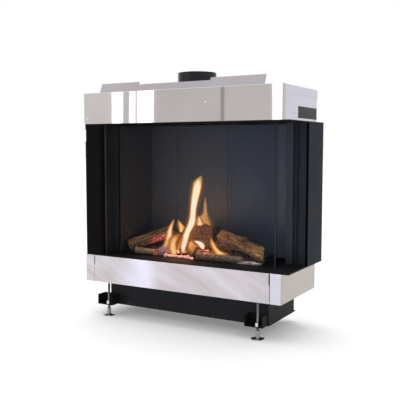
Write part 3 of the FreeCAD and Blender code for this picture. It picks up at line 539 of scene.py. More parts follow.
# %% Painted edges
edge_blur = 0.0006


def painted_edge(name, dark, light, edge_tone, past_x, front_y):
    finish, shader, place = start_finish(name, Specular_IOR_Level=0.03)
    dust = grain(place, 9.0, detail=6.0)
    edge_mottle = grain(place, 60.0, stretch=(1, 1, 0.1))
    past = spread(axis_of(place, "X"), 0.0, 1.0, past_x - edge_blur, past_x)
    before = spread(axis_of(place, "Y"), 1.0, 0.0, front_y, front_y + edge_blur)
    coat = shades(dust, (0.35, dark), (0.75, light))
    edge = worn(edge_mottle, edge_tone, 0.5)
    feed(shader, Base_Color=blend(times(past, before), coat, edge), Roughness=spread(dust, 0.35, 0.45))
    return finish


# Painted highlight on the left jamb's and the clamp's folds, painted shadow on the right jamb's far edge.
dress(painted_edge("jamb_edge_highlight", (0.003, 0.003, 0.0036), (0.006, 0.006, 0.007),
             edge_tone=(0.012, 0.012, 0.013), past_x=-0.3685, front_y=-0.1545), "left_jamb")
dress(painted_edge("clamp_edge_highlight", (0.018, 0.018, 0.021), (0.026, 0.026, 0.030),
             edge_tone=(0.075, 0.075, 0.080), past_x=-0.3705, front_y=-0.1270), "left_glass_clamp")
dress(painted_edge("jamb_edge_shadow", (0.024, 0.0265, 0.034), (0.033, 0.036, 0.046),
             edge_tone=(0.002, 0.002, 0.0024), past_x=0.4345, front_y=0.2), "right_jamb")

# %% [markdown]
# ## Gas controls
# Behind the base panel sit the gas parts, each in its usual material: a cast alloy valve, brass fittings,
# a drawn copper pipe, black plastic knobs and a yellow lever. They are the paint and the steel from above
# in other colours, because casting and drawing leave the same kind of grain.

# %% Gas controls
dress_all(
    paint,
    ("lever_paint", (0.60, 0.40, 0.03), (0.78, 0.55, 0.06), 0.3, 0.45, 0.5, ("shutoff_lever",)),
    ("knob_plastic", (0.018, 0.018, 0.019), (0.035, 0.035, 0.037), 0.45, 0.6, 0.4,
     ("control_knob", "pilot_button")),
)
dress_all(
    steel,
    ("cast_alloy", (0.42, 0.42, 0.43), (0.60, 0.60, 0.61), 0.38, 0.6, 0.0003, ("gas_valve",)),
    ("turned_brass", (0.62, 0.44, 0.18), (0.80, 0.62, 0.30), 0.18, 0.32, 0.0001,
     ("injector", "shutoff_valve")),
    ("drawn_copper", (0.62, 0.33, 0.20), (0.80, 0.48, 0.32), 0.2, 0.35, 0.0001, ("gas_manifold",)),
)

# %% [markdown]
# ## Glass
# The panes are clear ceramic glass, thin enough that nothing bends behind them: all that shows is a faint
# bluish sheen. A nearly transparent metal shader gives just that and lets the light in. The sheen is rough,
# because a sharp mirror this faint would only leave a coarse grain in the picture.

# %% Glass
clear_glass, shader, place = start_finish("clear_glass", Metallic=1.0, Roughness=0.5, Alpha=0.1)
smear = grain(place, 4.0, detail=5.0)
sheen = between(smear, (0.024, 0.028, 0.040), (0.029, 0.034, 0.047))
feed(shader, Base_Color=sheen)
dress(clear_glass, "front_glass", "side_glass")

# %% [markdown]
# ## Lining
# The chamber is lined with dark sheets. Their shade changes from sheet to sheet as painted light and
# shade, darkest on the left wall and lightest and bluest at the right end, with a thin dark joint between
# them. One ramp along X holds all the sheets and joints, and a slow haze dims them a little.

# %% Lining
wall_sheet, shader, place = start_finish("wall_sheet", Specular_IOR_Level=0.03)
haze = grain(place, 6.0, detail=5.0)
low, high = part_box("back_liners")
along = spread(axis_of(place, "X"), start=low[0], end=high[0])
# Painted light and shade: the sheets grow lighter and bluer towards the right end.
sheet_light = shades(
    along, (0.0, (0.030, 0.031, 0.033)), (0.03, (0.070, 0.078, 0.094)), (0.209, (0.080, 0.089, 0.108)),
    (0.212, (0.02, 0.02, 0.022)), (0.215, (0.076, 0.087, 0.107)), (0.557, (0.084, 0.096, 0.119)),
    (0.560, (0.03, 0.03, 0.036)), (0.563, (0.070, 0.088, 0.126)), (0.87, (0.076, 0.094, 0.134)),
    (0.89, (0.13, 0.148, 0.205)), (1.0, (0.12, 0.136, 0.19)))
dim = between(haze, (0.88, 0.88, 0.88), (1.0, 1.0, 1.0))
tinted = add(sheet_light, "MixRGB", blend_type="MULTIPLY", Fac=1.0)
join(sheet_light, tinted.inputs["Color1"])
join(dim, tinted.inputs["Color2"])
feed(shader, Base_Color=tinted.outputs["Color"], Roughness=spread(haze, 0.4, 0.55))
dress(wall_sheet, "side_liners", "back_liners")

# %% [markdown]
# ## Levelling feet
# Each foot is turned from zinc-plated steel: a round pad, a socket and a threaded rod. A true thread winds
# up as a helix. At this size a stack of ridges looks the same, so the foot is pulled up ring by ring from a
# circle, and each ring is widened or narrowed before the next pull.

# %% Pulling up rings
def select_points():
    bpy.ops.mesh.select_all(action="SELECT")


def grow(rings, sides, flat=None):
    """Pulls a closed skin up through rings of a centre and two half-widths; flat planes one side off."""
    deselect()
    bpy.ops.mesh.primitive_circle_add(vertices=sides, radius=1, fill_type="NGON")
    piece = bpy.context.object
    bpy.ops.object.mode_set(mode="EDIT")
    select_points()
    if flat is not None:
        bpy.ops.mesh.bisect(plane_co=(0, flat, 0), plane_no=(0, 1, 0), clear_outer=True)
        select_points()
    centre, wide, deep = rings[0]
    bpy.ops.transform.resize(value=(wide, deep, 1), center_override=(0, 0, 0))
    bpy.ops.transform.translate(value=centre)
    for (old, old_wide, old_deep), (new, new_wide, new_deep) in zip(rings, rings[1:]):
        step = Vector(new) - Vector(old)
        bpy.ops.mesh.extrude_region_move(TRANSFORM_OT_translate={"value": step})
        bpy.ops.transform.resize(value=(new_wide / old_wide, new_deep / old_deep, 1), center_override=new)
    select_points()
    bpy.ops.mesh.normals_make_consistent(inside=False)
    bpy.ops.object.mode_set(mode="OBJECT")
    return piece


print("ring puller ready")

# %% [markdown]
# The outline of the foot is a list of heights and radii. The pad and the whole height are measured on the
# construction model, the socket and the thread are added. One foot is modelled and copied to all four places.

# %% Foot
foot_zinc = steel("foot_zinc", (0.23, 0.235, 0.25), (0.42, 0.425, 0.44), smooth=0.12, matt=0.22, wave=0.0001)
low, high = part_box("foot_front_left")
pad_r = (high[0] - low[0]) / 2
foot_h = high[2] - low[2]
bevel, chamfer = 0.0008, 0.0006
pad_side, pad_top = 0.0024, 0.0032
neck, shoulder = 0.0070, 0.0076
socket_r, socket_h = 0.0075, 0.031
rod_r, root_r, pitch, thread_gap = 0.005, 0.0043, 0.0016, 0.0002
outline = [(0.0, pad_r - bevel), (bevel, pad_r), (pad_side, pad_r), (pad_top, pad_r - bevel),
           (neck, socket_r + chamfer), (shoulder, socket_r), (socket_h - bevel, socket_r),
           (socket_h, socket_r - bevel)]
z = socket_h + thread_gap
while z < foot_h - pitch:
    outline += [(z, root_r), (z + pitch / 2, rod_r)]
    z += pitch
outline += [(foot_h - chamfer, root_r), (foot_h, root_r - chamfer)]
model = grow([((0, 0, z), r, r) for z, r in outline], sides=24)
bpy.ops.object.shade_smooth_by_angle(angle=math.radians(30))
model.data.materials.append(foot_zinc)
print("foot of", len(outline), "rings")

# %% Four feet
for node in ("foot_front_left", "foot_front_right", "foot_rear_left", "foot_rear_right"):
    low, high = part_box(node)
    deselect()
    model.select_set(True)
    bpy.context.view_layer.objects.active = model
    bpy.ops.object.duplicate(linked=False)
    piece = bpy.context.object
    piece.name = node + "_turned"
    piece.location = ((low[0] + high[0]) / 2, (low[1] + high[1]) / 2, low[2])
    settle()
    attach(piece, node)
    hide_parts(node)
    print(piece.name, len(piece.data.polygons), "faces")
bpy.data.objects.remove(model)

# %% [markdown]
# ## Logs
# The logs are cast from ceramic fibre in moulds taken from split firewood: one flat split face, a ragged
# bark side and sawn ends. Each is pulled ring by ring from a circle with one side planed off, roughened by
# two displacements and turned onto its line. Sculpting would be livelier, but this can be repeated.

# %% Roughening and laying
def roughen(piece, name, size, strength):
    pattern = bpy.data.textures.new(name, "CLOUDS")
    pattern.noise_scale = size
    bumps = piece.modifiers.new(name, "DISPLACE")
    bumps.texture = pattern
    bumps.texture_coords = "LOCAL"
    bumps.strength = strength
    bumps.mid_level = 0.5
    bpy.ops.object.modifier_apply(modifier=name)


def refine(piece, levels, kind="SIMPLE"):
    finer = piece.modifiers.new("finer", "SUBSURF")
    finer.subdivision_type = kind
    finer.levels = levels
    finer.render_levels = levels
    bpy.ops.object.modifier_apply(modifier="finer")


def lay_down(piece, start, end, turn):
    """Turns a piece that was grown upwards onto the line from start to end."""
    way = (Vector(end) - Vector(start)).to_track_quat("Z", "Y")
    piece.rotation_mode = "QUATERNION"
    piece.rotation_quaternion = way @ Quaternion((0, 0, 1), math.radians(turn))
    piece.location = start
    settle()


print("log tools: roughen, refine, lay_down")

# %% [markdown]
# A log gets ten rings along its length, each a little off in place and size. Its faces are sorted by the way
# they point, into bark, ends and split face, before the displacements blur that. The place of every point
# on the straight log is stored on the mesh, so that the fibres can follow the log wherever it lies. A log
# may also be cut off slantwise at one end.

# %% Log maker
ring_shares = (0.0, 0.012, 0.15, 0.3, 0.45, 0.6, 0.75, 0.9, 0.988, 1.0)
bark_face, end_face, split_face = 0, 1, 2
log_sides, log_levels = 16, 3
wobble_x, wobble_y = 0.0012, 0.0006
lump_size, lump_share = 0.03, 0.19
crust_size, crust_share = 0.005, 0.1


def face_kind(normal):
    if abs(normal.z) > 0.9:
        return end_face
    return split_face if normal.y > 0.85 else bark_face


def log(name, start, end, first, last, turn, flat, seed, cut=None):
    pick = random.Random(seed)
    length = (Vector(end) - Vector(start)).length
    rings = []
    for share in ring_shares:
        radius = (first + (last - first) * share) * pick.uniform(1.0, 1.1)
        centre = (pick.uniform(-1, 1) * wobble_x, pick.uniform(-1, 1) * wobble_y, share * length)
        rings.append((centre, radius, radius * pick.uniform(0.97, 1.03)))
    piece = grow(rings, log_sides, flat)
    piece.name = name
    for face in piece.data.polygons:
        face.material_index = face_kind(face.normal)
    refine(piece, log_levels)
    roughen(piece, name + "_lumps", lump_size, lump_share * first)
    roughen(piece, name + "_bark", crust_size, crust_share * first)
    straight = piece.data.attributes.new("straight", "FLOAT_VECTOR", "POINT")
    straight.data.foreach_set("vector", [v for point in piece.data.vertices for v in point.co])
    lay_down(piece, start, end, turn)
    if cut:
        point, normal = cut
        bpy.ops.object.mode_set(mode="EDIT")
        select_points()
        bpy.ops.mesh.bisect(plane_co=point, plane_no=normal, use_fill=True, clear_outer=True)
        bpy.ops.object.mode_set(mode="OBJECT")
    return piece


print("log maker ready,", len(ring_shares), "rings to a log")

# %% [markdown]
# ## Wood finishes
# The bark is a crust of specks from near black to white, with a cool painted shade in the hollow beside
# the right log. Where the left log lies in the embers its bark glows in spots. Both places are picked out
# by their distance from a point.

# %% Bark
ember_corner = (-0.170, -0.020, 0.288)
shaded_hollow = (0.125, -0.02, 0.305)


def near(place, spot, inner, outer):
    """One near a spot, falling to nothing at the outer distance."""
    far = add(place, "VectorMath", operation="DISTANCE")
    far.inputs[1].default_value = spot
    join(place, far.inputs[0])
    return spread(far.outputs["Value"], 1.0, 0.0, inner, outer)


def bark_finish(name, dark, middle, pale, white):
    finish, shader, place = start_finish(name, Roughness=0.9, Specular_IOR_Level=0.15, Emission_Strength=1.5)
    speck = grain(place, 240.0, detail=8.0, rough=0.75)
    crust = shades(speck, (0.38, dark), (0.50, middle), (0.58, pale), (0.66, white))
    cool = shades(speck, (0.38, (0.012, 0.011, 0.022)), (0.56, (0.088, 0.076, 0.125)),
                  (0.66, (0.26, 0.24, 0.34)))
    # Painted shade: the bark turns cool and dark near the hollow.
    shaded = near(place, shaded_hollow, inner=0.02, outer=0.05)
    sparks = spread(grain(place, 130.0, detail=5.0), start=0.50, end=0.64)
    lit = times(near(place, ember_corner, inner=0.02, outer=0.065), sparks)
    glow = shades(lit, (0.0, (0, 0, 0)), (0.5, (0.7, 0.06, 0.07)), (1.0, (1.0, 0.30, 0.24)))
    feed(shader, Base_Color=blend(shaded, crust, cool), Emission_Color=glow)
    relief(shader, speck, depth=0.0015)
    return finish


bark, olive_bark, pale_bark, block_bark = [bark_finish(*row) for row in (
    ("bark", (0.012, 0.010, 0.008), (0.060, 0.048, 0.036), (0.18, 0.15, 0.12), (0.55, 0.49, 0.42)),
    ("olive_bark", (0.042, 0.028, 0.019), (0.225, 0.152, 0.105), (0.44, 0.32, 0.23), (0.68, 0.57, 0.46)),
    ("pale_bark", (0.08, 0.052, 0.032), (0.36, 0.24, 0.15), (0.62, 0.46, 0.31), (0.82, 0.70, 0.54)),
    ("block_bark", (0.011, 0.008, 0.007), (0.048, 0.032, 0.027), (0.125, 0.088, 0.075), (0.32, 0.25, 0.22)),
)]
print("barks: plain, olive, pale, block")

# %% [markdown]
# A split face shows long fibres, tan where it is clean and nearly black where it is singed. The fibres
# are noise on the stored straight coordinates, drawn out along the log. Next to the fire the face carries
# a little painted firelight, as an orange glow. The sawn ends show growth rings, which are a ring wave round
# the same straight axis.

# %% Split and sawn wood
firelit_spot = (0.002, -0.055, 0.302)


def straight_place(shader):
    return add(shader, "Attribute", attribute_name="straight").outputs["Vector"]


def split_finish(name, dark, middle, pale):
    finish, shader, place = start_finish(name, Roughness=0.85, Specular_IOR_Level=0.2, Emission_Strength=0.9)
    fibre = grain(straight_place(shader), 260.0, stretch=(1.0, 1.0, 0.09), detail=6.0)
    clean = shades(fibre, (0.34, dark), (0.5, middle), (0.66, pale))
    singed = between(fibre, (0.016, 0.011, 0.008), (0.09, 0.058, 0.034))
    stain = spread(grain(place, 60.0, detail=4.0), 0.0, 0.8, 0.54, 0.70)
    # Painted firelight: a faint orange glow on the fibres near the fire.
    painted_firelight = times(near(place, firelit_spot, inner=0.010, outer=0.036), fibre)
    glow = shades(painted_firelight, (0.15, (0, 0, 0)), (0.5, (0.75, 0.24, 0.05)), (0.75, (1.0, 0.42, 0.11)))
    feed(shader, Base_Color=blend(stain, clean, singed), Emission_Color=glow)
    relief(shader, fibre, depth=0.0012)
    return finish


split_wood = split_finish("split_wood", (0.075, 0.038, 0.014), (0.25, 0.145, 0.062), (0.46, 0.30, 0.145))
charred_wood = split_finish("charred_wood", (0.030, 0.015, 0.009), (0.115, 0.062, 0.040), (0.30, 0.20, 0.15))
sawn_wood, shader, _ = start_finish("sawn_wood", Roughness=0.85)
rings = add(shader, "TexWave", wave_type="RINGS", rings_direction="Z", Scale=90.0, Distortion=3.0, Detail=3.0)
join(straight_place(shader), rings.inputs["Vector"])
tone = shades(rings.outputs["Fac"], (0.0, (0.07, 0.038, 0.018)), (0.5, (0.17, 0.10, 0.05)),
              (1.0, (0.30, 0.20, 0.11)))
feed(shader, Base_Color=tone)
relief(shader, rings.outputs["Fac"], depth=0.0006)
print("wood:", split_wood.name, charred_wood.name, sawn_wood.name)

# %% [markdown]
# ## Laying the logs
# There are seven logs: two long ones lean inwards on the back log, a block lies between them, and three
# small ones lie and stand in front. Each row gives where a log starts and ends, its two radii, its turn,
# where it is planed off and its throw of the dice. A log's finishes are named in the order bark, ends,
# split face.

# %% Lay the logs
log_lines = {
    "log_back": ((-0.1901, 0.0650, 0.3040), (0.1702, 0.0690, 0.3010), 0.034, 0.031, 30, 0.6, 3),
    "log_left": ((-0.3075, -0.0550, 0.2790), (-0.1581, 0.0379, 0.3450), 0.027, 0.0225, 24, 0.5, 5),
    "log_right": ((0.0719, 0.0330, 0.3405), (0.3300, -0.0590, 0.2793), 0.022, 0.029, 38, 0.5, 8,
                  ((0.300, -0.050, 0.286), (0.95, 0.30, 0.05))),
    "log_center": ((-0.0440, 0.0340, 0.3500), (0.0500, 0.0290, 0.3360), 0.034, 0.031, 100, 0.55, 11),
    "log_upright": ((-0.0180, -0.0480, 0.2730), (0.0080, -0.0500, 0.3110), 0.0230, 0.0215, 80, 0.5, 13),
    "log_front": ((0.0262, -0.0680, 0.2670), (0.2180, -0.0669, 0.2655), 0.015, 0.0135, -30, 0.7, 17),
    "log_low": ((-0.2618, -0.0660, 0.2679), (-0.1717, -0.0639, 0.2643), 0.015, 0.012, -10, 0.7, 19),
}
usual_wood = (bark, sawn_wood, split_wood)
other_wood = {
    "log_center": (charred_wood, block_bark, block_bark),
    "log_front": (olive_bark, sawn_wood, split_wood),
    "log_low": (pale_bark, sawn_wood, split_wood),
}
for node, line in log_lines.items():
    piece = log(node + "_cast", *line)
    for finish in other_wood.get(node, usual_wood):
        piece.data.materials.append(finish)
    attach(piece, "casing")
    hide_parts(node)
    print(piece.name, len(piece.data.polygons), "faces")

# %% [markdown]
# ## Ember bed
# Below the logs lies a bed of loose ceramic embers, black to grey, and red to yellow where they glow near
# the heart of the fire. A lumpy sheet fills the tray: a fine grid at the size of the construction model's
# bed, displaced and given a thickness.

# %% Ember sheet
fire_heart = (-0.03, -0.045, 0.275)
ember, shader, place = start_finish("ember", Roughness=0.95, Emission_Strength=1.5)
crumb = grain(place, 120.0, detail=6.0, rough=0.7)
tone = shades(crumb, (0.35, (0.010, 0.008, 0.008)), (0.55, (0.07, 0.05, 0.045)),
              (0.72, (0.30, 0.26, 0.25)))
sparks = spread(grain(place, 45.0, detail=4.0), start=0.5, end=0.68)
lit = times(near(place, fire_heart, inner=0.04, outer=0.17), sparks)
glow = shades(lit, (0.0, (0, 0, 0)), (0.35, (0.7, 0.07, 0.03)), (0.7, (1.0, 0.32, 0.14)),
              (1.0, (1.0, 0.68, 0.42)))
feed(shader, Base_Color=tone, Emission_Color=glow)
relief(shader, crumb, depth=0.002)

low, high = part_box("ember_bed")
sheet_drop, sheet_wall = 0.002, 0.004
deselect()
bpy.ops.mesh.primitive_grid_add(x_subdivisions=120, y_subdivisions=40, size=1)
bed = bpy.context.object
bed.name = "ember_sheet"
bed.scale = (high[0] - low[0], high[1] - low[1], 1)
bed.location = ((low[0] + high[0]) / 2, (low[1] + high[1]) / 2, high[2] - sheet_drop)
settle()
roughen(bed, "bed_lumps", size=0.012, strength=0.005)
thicker = bed.modifiers.new("wall", "SOLIDIFY")
thicker.thickness = sheet_wall
thicker.offset = -1
bpy.ops.object.modifier_apply(modifier="wall")
bed.data.materials.append(ember)
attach(bed, "casing")
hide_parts("ember_bed")
print("ember sheet", len(bed.data.polygons), "faces")

# %% [markdown]
# Small broken pieces lie on the sheet, modelled one by one and joined, each turned and sized by its own
# throw of the dice. A ball of few faces is a good start: a strong displacement breaks it, and uneven scaling
# flattens it.

# %% Loose embers
full_turn = 6.28


def merge(pieces, name):
    deselect()
    for piece in pieces:
        piece.select_set(True)
    bpy.context.view_layer.objects.active = pieces[0]
    bpy.ops.object.join()
    whole = bpy.context.object
    whole.name = name
    return whole


def scatter(name, count, box, sizes, finish, seed):
    """Broken pieces thrown over a box and joined into one."""
    pick = random.Random(seed)
    pieces = []
    (x0, y0, z0), (x1, y1, z1) = box
    for i in range(count):
        deselect()
        bpy.ops.mesh.primitive_ico_sphere_add(subdivisions=2, radius=1)
        piece = bpy.context.object
        roughen(piece, name + str(i), size=pick.uniform(0.5, 1.2), strength=0.9)
        size = pick.uniform(*sizes)
        piece.scale = (size * pick.uniform(0.8, 1.5), size, size * pick.uniform(0.45, 0.8))
        piece.rotation_euler = (pick.uniform(-0.4, 0.4), pick.uniform(-0.4, 0.4), pick.uniform(0, full_turn))
        piece.location = (pick.uniform(x0, x1), pick.uniform(y0, y1), pick.uniform(z0, z1))
        settle()
        pieces.append(piece)
    whole = merge(pieces, name)
    whole.data.materials.append(finish)
    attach(whole, "casing")
    print(name, count, "pieces,", len(whole.data.polygons), "faces")


scatter("ember_lumps", 150, ((-0.225, -0.042, 0.268), (0.255, 0.05, 0.272)), (0.005, 0.011), ember, 23)
scatter("ember_heart", 50, ((-0.12, -0.045, 0.269), (0.05, -0.005, 0.276)), (0.005, 0.010), ember, 29)

# %% [markdown]
# ## Wood chips and ash
# At the right lie three pale chips of split wood, short and much flatter than a log, made by the same log
# maker and joined. In front of the logs lie crumbs of ash with a faint pink glow, which is painted
# firelight.

# %% Wood chips
def ash_finish(name, dark, middle, pale):
    finish, shader, place = start_finish(name, Roughness=0.95)
    flake = grain(place, 140.0, detail=6.0)
    feed(shader, Base_Color=shades(flake, (0.3, dark), (0.5, middle), (0.72, pale)))
    relief(shader, flake, depth=0.001)
    return finish, shader, flake


ash, *_ = ash_finish("ash", (0.42, 0.39, 0.37), (0.72, 0.68, 0.64), (0.92, 0.90, 0.87))
chips = [
    log("chip_rear", (0.210, -0.042, 0.2590), (0.268, -0.046, 0.2600), 0.0082, 0.0070, 10, 0.2, 37),
    log("chip_front", (0.204, -0.071, 0.2580), (0.250, -0.069, 0.2590), 0.0078, 0.0070, -8, 0.2, 41),
    log("chip_end", (0.256, -0.066, 0.2570), (0.294, -0.062, 0.2580), 0.0066, 0.0055, 5, 0.2, 43),
]
for chip in chips:
    for face in chip.data.polygons:
        face.material_index = bark_face
slivers = merge(chips, "wood_chips_split")
slivers.data.materials.append(ash)
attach(slivers, "casing")
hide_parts("wood_chips")
print(slivers.name, len(slivers.data.polygons), "faces")

# %% Ash crumbs
firelit_ash, shader, flake = ash_finish("firelit_ash", (0.10, 0.06, 0.05), (0.34, 0.21, 0.18), (0.60, 0.44, 0.39))
# Painted firelight: the crumbs glow faintly pink.
feed(shader, Emission_Color=between(flake, (0.14, 0.05, 0.04), (0.75, 0.37, 0.29)))
set_up(shader, Emission_Strength=1.4)
scatter("ash_crumbs", 34, ((-0.13, -0.076, 0.2520), (0.005, -0.050, 0.2590)), (0.0022, 0.0085), firelit_ash, 31)

# %% [markdown]
# ## Flames
# Fire has no surface, but it can be drawn with a few thin skins, one inside the other: a faint orange
# one outside, yellow ones, and a white core. A simulated fire would be truer, but it is no mesh to export.
# A number stored on a skin's points, from zero at the foot to one at the tip, fades it and changes its
# colour, and a noise makes that uneven.

# %% Flame finish
def flame_finish(name, foot, body, tip, strength, cover):
    finish, shader, place = start_finish(
        name, Base_Color=(0, 0, 0, 1), Roughness=1.0, Specular_IOR_Level=0.0, Emission_Strength=strength)
    rise = add(shader, "Attribute", attribute_name="rise").outputs["Fac"]
    lick = grain(place, 40.0, stretch=(1, 1, 0.25), detail=2.0)
    height = spread(added(lick, 0.2, rise), start=0.08, end=1.12)
    colour = shades(height, (0.0, foot), (0.25, body), (0.75, body), (1.0, tip))
    full, thin = (cover,) * 3, (cover * 0.4,) * 3
    fade = shades(height, (0.0, (0.0,) * 3), (0.18, full), (0.75, full), (1.0, thin))
    feed(shader, Emission_Color=colour, Alpha=fade)
    return finish


flame_tones = {
    "white_core": ((1.0, 0.82, 0.58), (1.0, 0.98, 0.96), (1.0, 0.93, 0.62), 1.95, 0.75),
    "pale_skin": ((1.0, 0.60, 0.30), (1.0, 0.88, 0.60), (0.95, 0.86, 0.42), 1.15, 0.38),
    "yellow_skin": ((1.0, 0.40, 0.12), (1.0, 0.58, 0.15), (0.92, 0.70, 0.20), 1.05, 0.3),
    "orange_skin": ((0.95, 0.24, 0.07), (1.0, 0.34, 0.06), (0.85, 0.36, 0.07), 1.0, 0.17),
    "faint_skin": ((0.8, 0.2, 0.07), (0.9, 0.30, 0.07), (0.6, 0.26, 0.07), 0.8, 0.05),
    "amber_skin": ((1.0, 0.60, 0.28), (1.0, 0.50, 0.20), (0.6, 0.32, 0.13), 1.2, 0.14),
    "haze_skin": ((1.0, 0.50, 0.40), (0.75, 0.36, 0.42), (0.5, 0.24, 0.36), 0.85, 0.15),
    "pink_core": ((1.0, 0.62, 0.42), (1.0, 0.88, 0.84), (1.0, 0.80, 0.70), 1.8, 0.6),
    "tawny_skin": ((1.0, 0.42, 0.14), (1.0, 0.30, 0.05), (0.90, 0.24, 0.04), 1.0, 0.12),
    "gold_skin": ((1.0, 0.66, 0.30), (1.0, 0.46, 0.10), (1.0, 0.34, 0.06), 1.1, 0.24),
    "light_core": ((1.0, 0.86, 0.60), (1.0, 0.78, 0.42), (1.0, 0.55, 0.16), 1.8, 0.5),
}
flame_finishes = {name: flame_finish(name, *tones) for name, tones in flame_tones.items()}
print("flame finishes:", len(flame_finishes))

# %% [markdown]
# A skin is grown ring by ring up the line of its flame and smoothed. An outline is in millimetres: height,
# middle and half-width. An inner skin is a slimmer and lower copy of the outer one, and keeps to the middle
# line of the whole flame. The skins neither light the chamber nor shade it.

# %% Flame maker
mm_per_m = 1000
slimmest, depth_share = 0.6, 0.6


def middle_at(outline, height):
    """Middle of a flame at a height between two rows of its outline."""
    for (low, first, _), (high, second, _) in zip(outline, outline[1:]):
        if height <= high:
            return first + (second - first) * (height - low) / (high - low)
    return outline[-1][1]


def skin(name, outline, foot_y, tip_y, finish, share, top):
    """One skin of a flame, slimmed by one share and lowered by another."""
    low, high = outline[0][0], outline[-1][0]
    rings = []
    for height, _, half in outline:
        rise = (height - low) / (high - low)
        lowered = low + (height - low) * top
        half = max(half * share, slimmest) / mm_per_m
        x, y = middle_at(outline, lowered) / mm_per_m, foot_y + (tip_y - foot_y) * rise
        rings.append(((x, y, lowered / mm_per_m), half, half * depth_share))
    piece = grow(rings, sides=12)
    piece.name = name
    refine(piece, levels=2, kind="CATMULL_CLARK")
    heights = [v.co.z for v in piece.data.vertices]
    foot, tip = min(heights), max(heights)
    rise = piece.data.attributes.new("rise", "FLOAT", "POINT")
    rise.data.foreach_set("value", [(z - foot) / (tip - foot) for z in heights])
    piece.data.materials.append(finish)
    bpy.ops.object.shade_smooth()
    piece.visible_diffuse = False
    piece.visible_shadow = False
    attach(piece, "casing")


print("flame maker ready")

# %% [markdown]
# The tall flame rises in front of the block, short ones lean over the left log, one stands behind the block,
# small ones lick round the front log, and a pink haze lies at the left. Layers name a flame's skins from the
# outside in: the finish, its share of the width and its share of the height. A flame's row says where its
# foot and tip lie from front to back, its layers and its outline.

# %% Layers of the flames
bright = (("faint_skin", 1.9, 1.0), ("faint_skin", 1.5, 1.0), ("orange_skin", 1.22, 1.0),
          ("yellow_skin", 1.04, 0.995), ("pale_skin", 0.88, 0.98), ("white_core", 0.72, 0.95))
forked = (("faint_skin", 1.9, 1.0), ("tawny_skin", 1.5, 1.0), ("tawny_skin", 1.3, 1.0),
          ("gold_skin", 1.12, 0.99), ("gold_skin", 0.95, 0.97), ("pale_skin", 0.8, 0.94),
          ("white_core", 0.6, 0.84))
lower = (("faint_skin", 2.0, 1.0), ("faint_skin", 1.7, 1.0), ("tawny_skin", 1.4, 1.0),
         ("tawny_skin", 1.2, 0.99), ("gold_skin", 1.02, 0.98), ("gold_skin", 0.84, 0.94),
         ("light_core", 0.62, 0.86), ("light_core", 0.4, 0.75))
plume = (("faint_skin", 1.6, 1.0), ("faint_skin", 1.3, 1.0), ("amber_skin", 1.1, 1.0),
         ("amber_skin", 0.85, 0.97), ("gold_skin", 0.9, 0.6), ("gold_skin", 0.65, 0.5))
rosy = (("orange_skin", 1.2, 1.0), ("yellow_skin", 1.0, 1.0), ("pink_core", 0.75, 0.98))
misty = (("haze_skin", 1.0, 1.0), ("haze_skin", 0.7, 0.9))
print("skins in the tall flame:", len(bright))

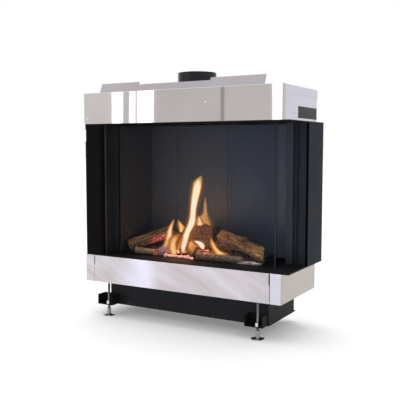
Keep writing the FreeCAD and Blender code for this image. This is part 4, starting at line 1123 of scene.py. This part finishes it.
# %% Draw the flames
for name, foot_y, tip_y, layers, outline in (
    ("main_flame", -0.046, -0.006, bright,
     [(260, -51, 5), (286, -55, 12), (311, -51, 16), (332, -46, 14), (358, -37, 13), (383, -21, 17),
      (408, -19, 14), (437, -20, 12), (470, -17, 15), (495, -13, 17), (520, -9, 19), (541, -7, 19),
      (553, -6, 18), (565, 2, 9), (574, 9, 2)]),
    ("left_root", -0.046, -0.036, lower, [(276, -77, 3), (294, -71, 6), (312, -64, 8), (334, -54, 8)]),
    ("left_outer", -0.042, -0.030, forked,
     [(275, -143, 14), (293, -129, 14), (310, -124, 14), (327, -123, 12), (344, -123, 10), (361, -120, 8),
      (378, -113, 5), (391, -107, 4), (400, -103, 1)]),
    ("left_inner", -0.050, -0.036, lower,
     [(257, -87, 19), (271, -97, 16), (287, -103, 16), (303, -105, 15), (320, -101, 16), (334, -88, 11),
      (340, -81, 5)]),
    ("tongue", -0.030, -0.020, lower,
     [(346, -72, 6), (355, -70, 10), (363, -69, 13), (371, -74, 12), (381, -82, 7), (389, -88, 3),
      (396, -92, 1)]),
    ("rear_flame", 0.044, 0.050, plume,
     [(345, -8, 24), (362, -8, 28), (375, -10, 30), (386, -14, 29), (396, -16, 27), (404, -12, 20),
      (416, -4, 9), (432, -5, 7), (453, -6, 6), (474, -7, 4), (489, -7, 2)]),
    ("peak", 0.018, 0.022, forked,
     [(366, -12, 15), (378, -14, 16), (387, -17, 14), (395, -19, 11), (403, -19, 6), (412, -21, 1)]),
    ("curl", -0.050, -0.046, rosy,
     [(290, 39, 8), (298, 38, 11), (306, 33, 14), (312, 26, 17), (317, 15, 18), (321, 5, 13)]),
    ("right_flame", -0.055, -0.040, lower,
     [(264, 132, 22), (272, 127, 24), (281, 116, 21), (288, 104, 14), (295, 94, 10), (306, 85, 9),
      (317, 78, 7), (329, 73, 4), (337, 69, 2)]),
    ("haze", -0.050, -0.040, misty,
     [(254, -143, 48), (259, -141, 44), (271, -140, 37), (284, -138, 24), (294, -137, 12)]),
):
    for i, (finish, share, top) in enumerate(layers):
        skin(name + "_" + str(i), outline, foot_y, tip_y, flame_finishes[finish], share, top)
    print(name, len(layers), "skins")

# %% [markdown]
# ## Firelight
# The skins give no light, because thin glowing shells light a room unevenly and with much noise. Small warm
# lamps inside the flames do it for them, and one pale lamp brings out the chips at the right. They are kept
# out of reflections, so that no bright dot shows in the steel or the glass.

# %% Firelight
fire_tint = (1.0, 0.48, 0.18)
pale_tint = (1.0, 0.82, 0.68)
for name, energy, place, tint in (
    ("fire_middle", 0.5, (-0.04, -0.055, 0.33), fire_tint),
    ("fire_left", 0.3, (-0.12, -0.06, 0.31), fire_tint),
    ("fire_right", 0.36, (0.07, -0.055, 0.31), fire_tint),
    ("fire_rear", 0.15, (0.0, 0.05, 0.43), fire_tint),
    ("fire_end", 0.065, (0.258, -0.085, 0.300), pale_tint),
):
    spark = lamp(name, "POINT", energy, place, (0, 0, 0), color=tint, shadow_soft_size=0.02)
    spark.visible_glossy = False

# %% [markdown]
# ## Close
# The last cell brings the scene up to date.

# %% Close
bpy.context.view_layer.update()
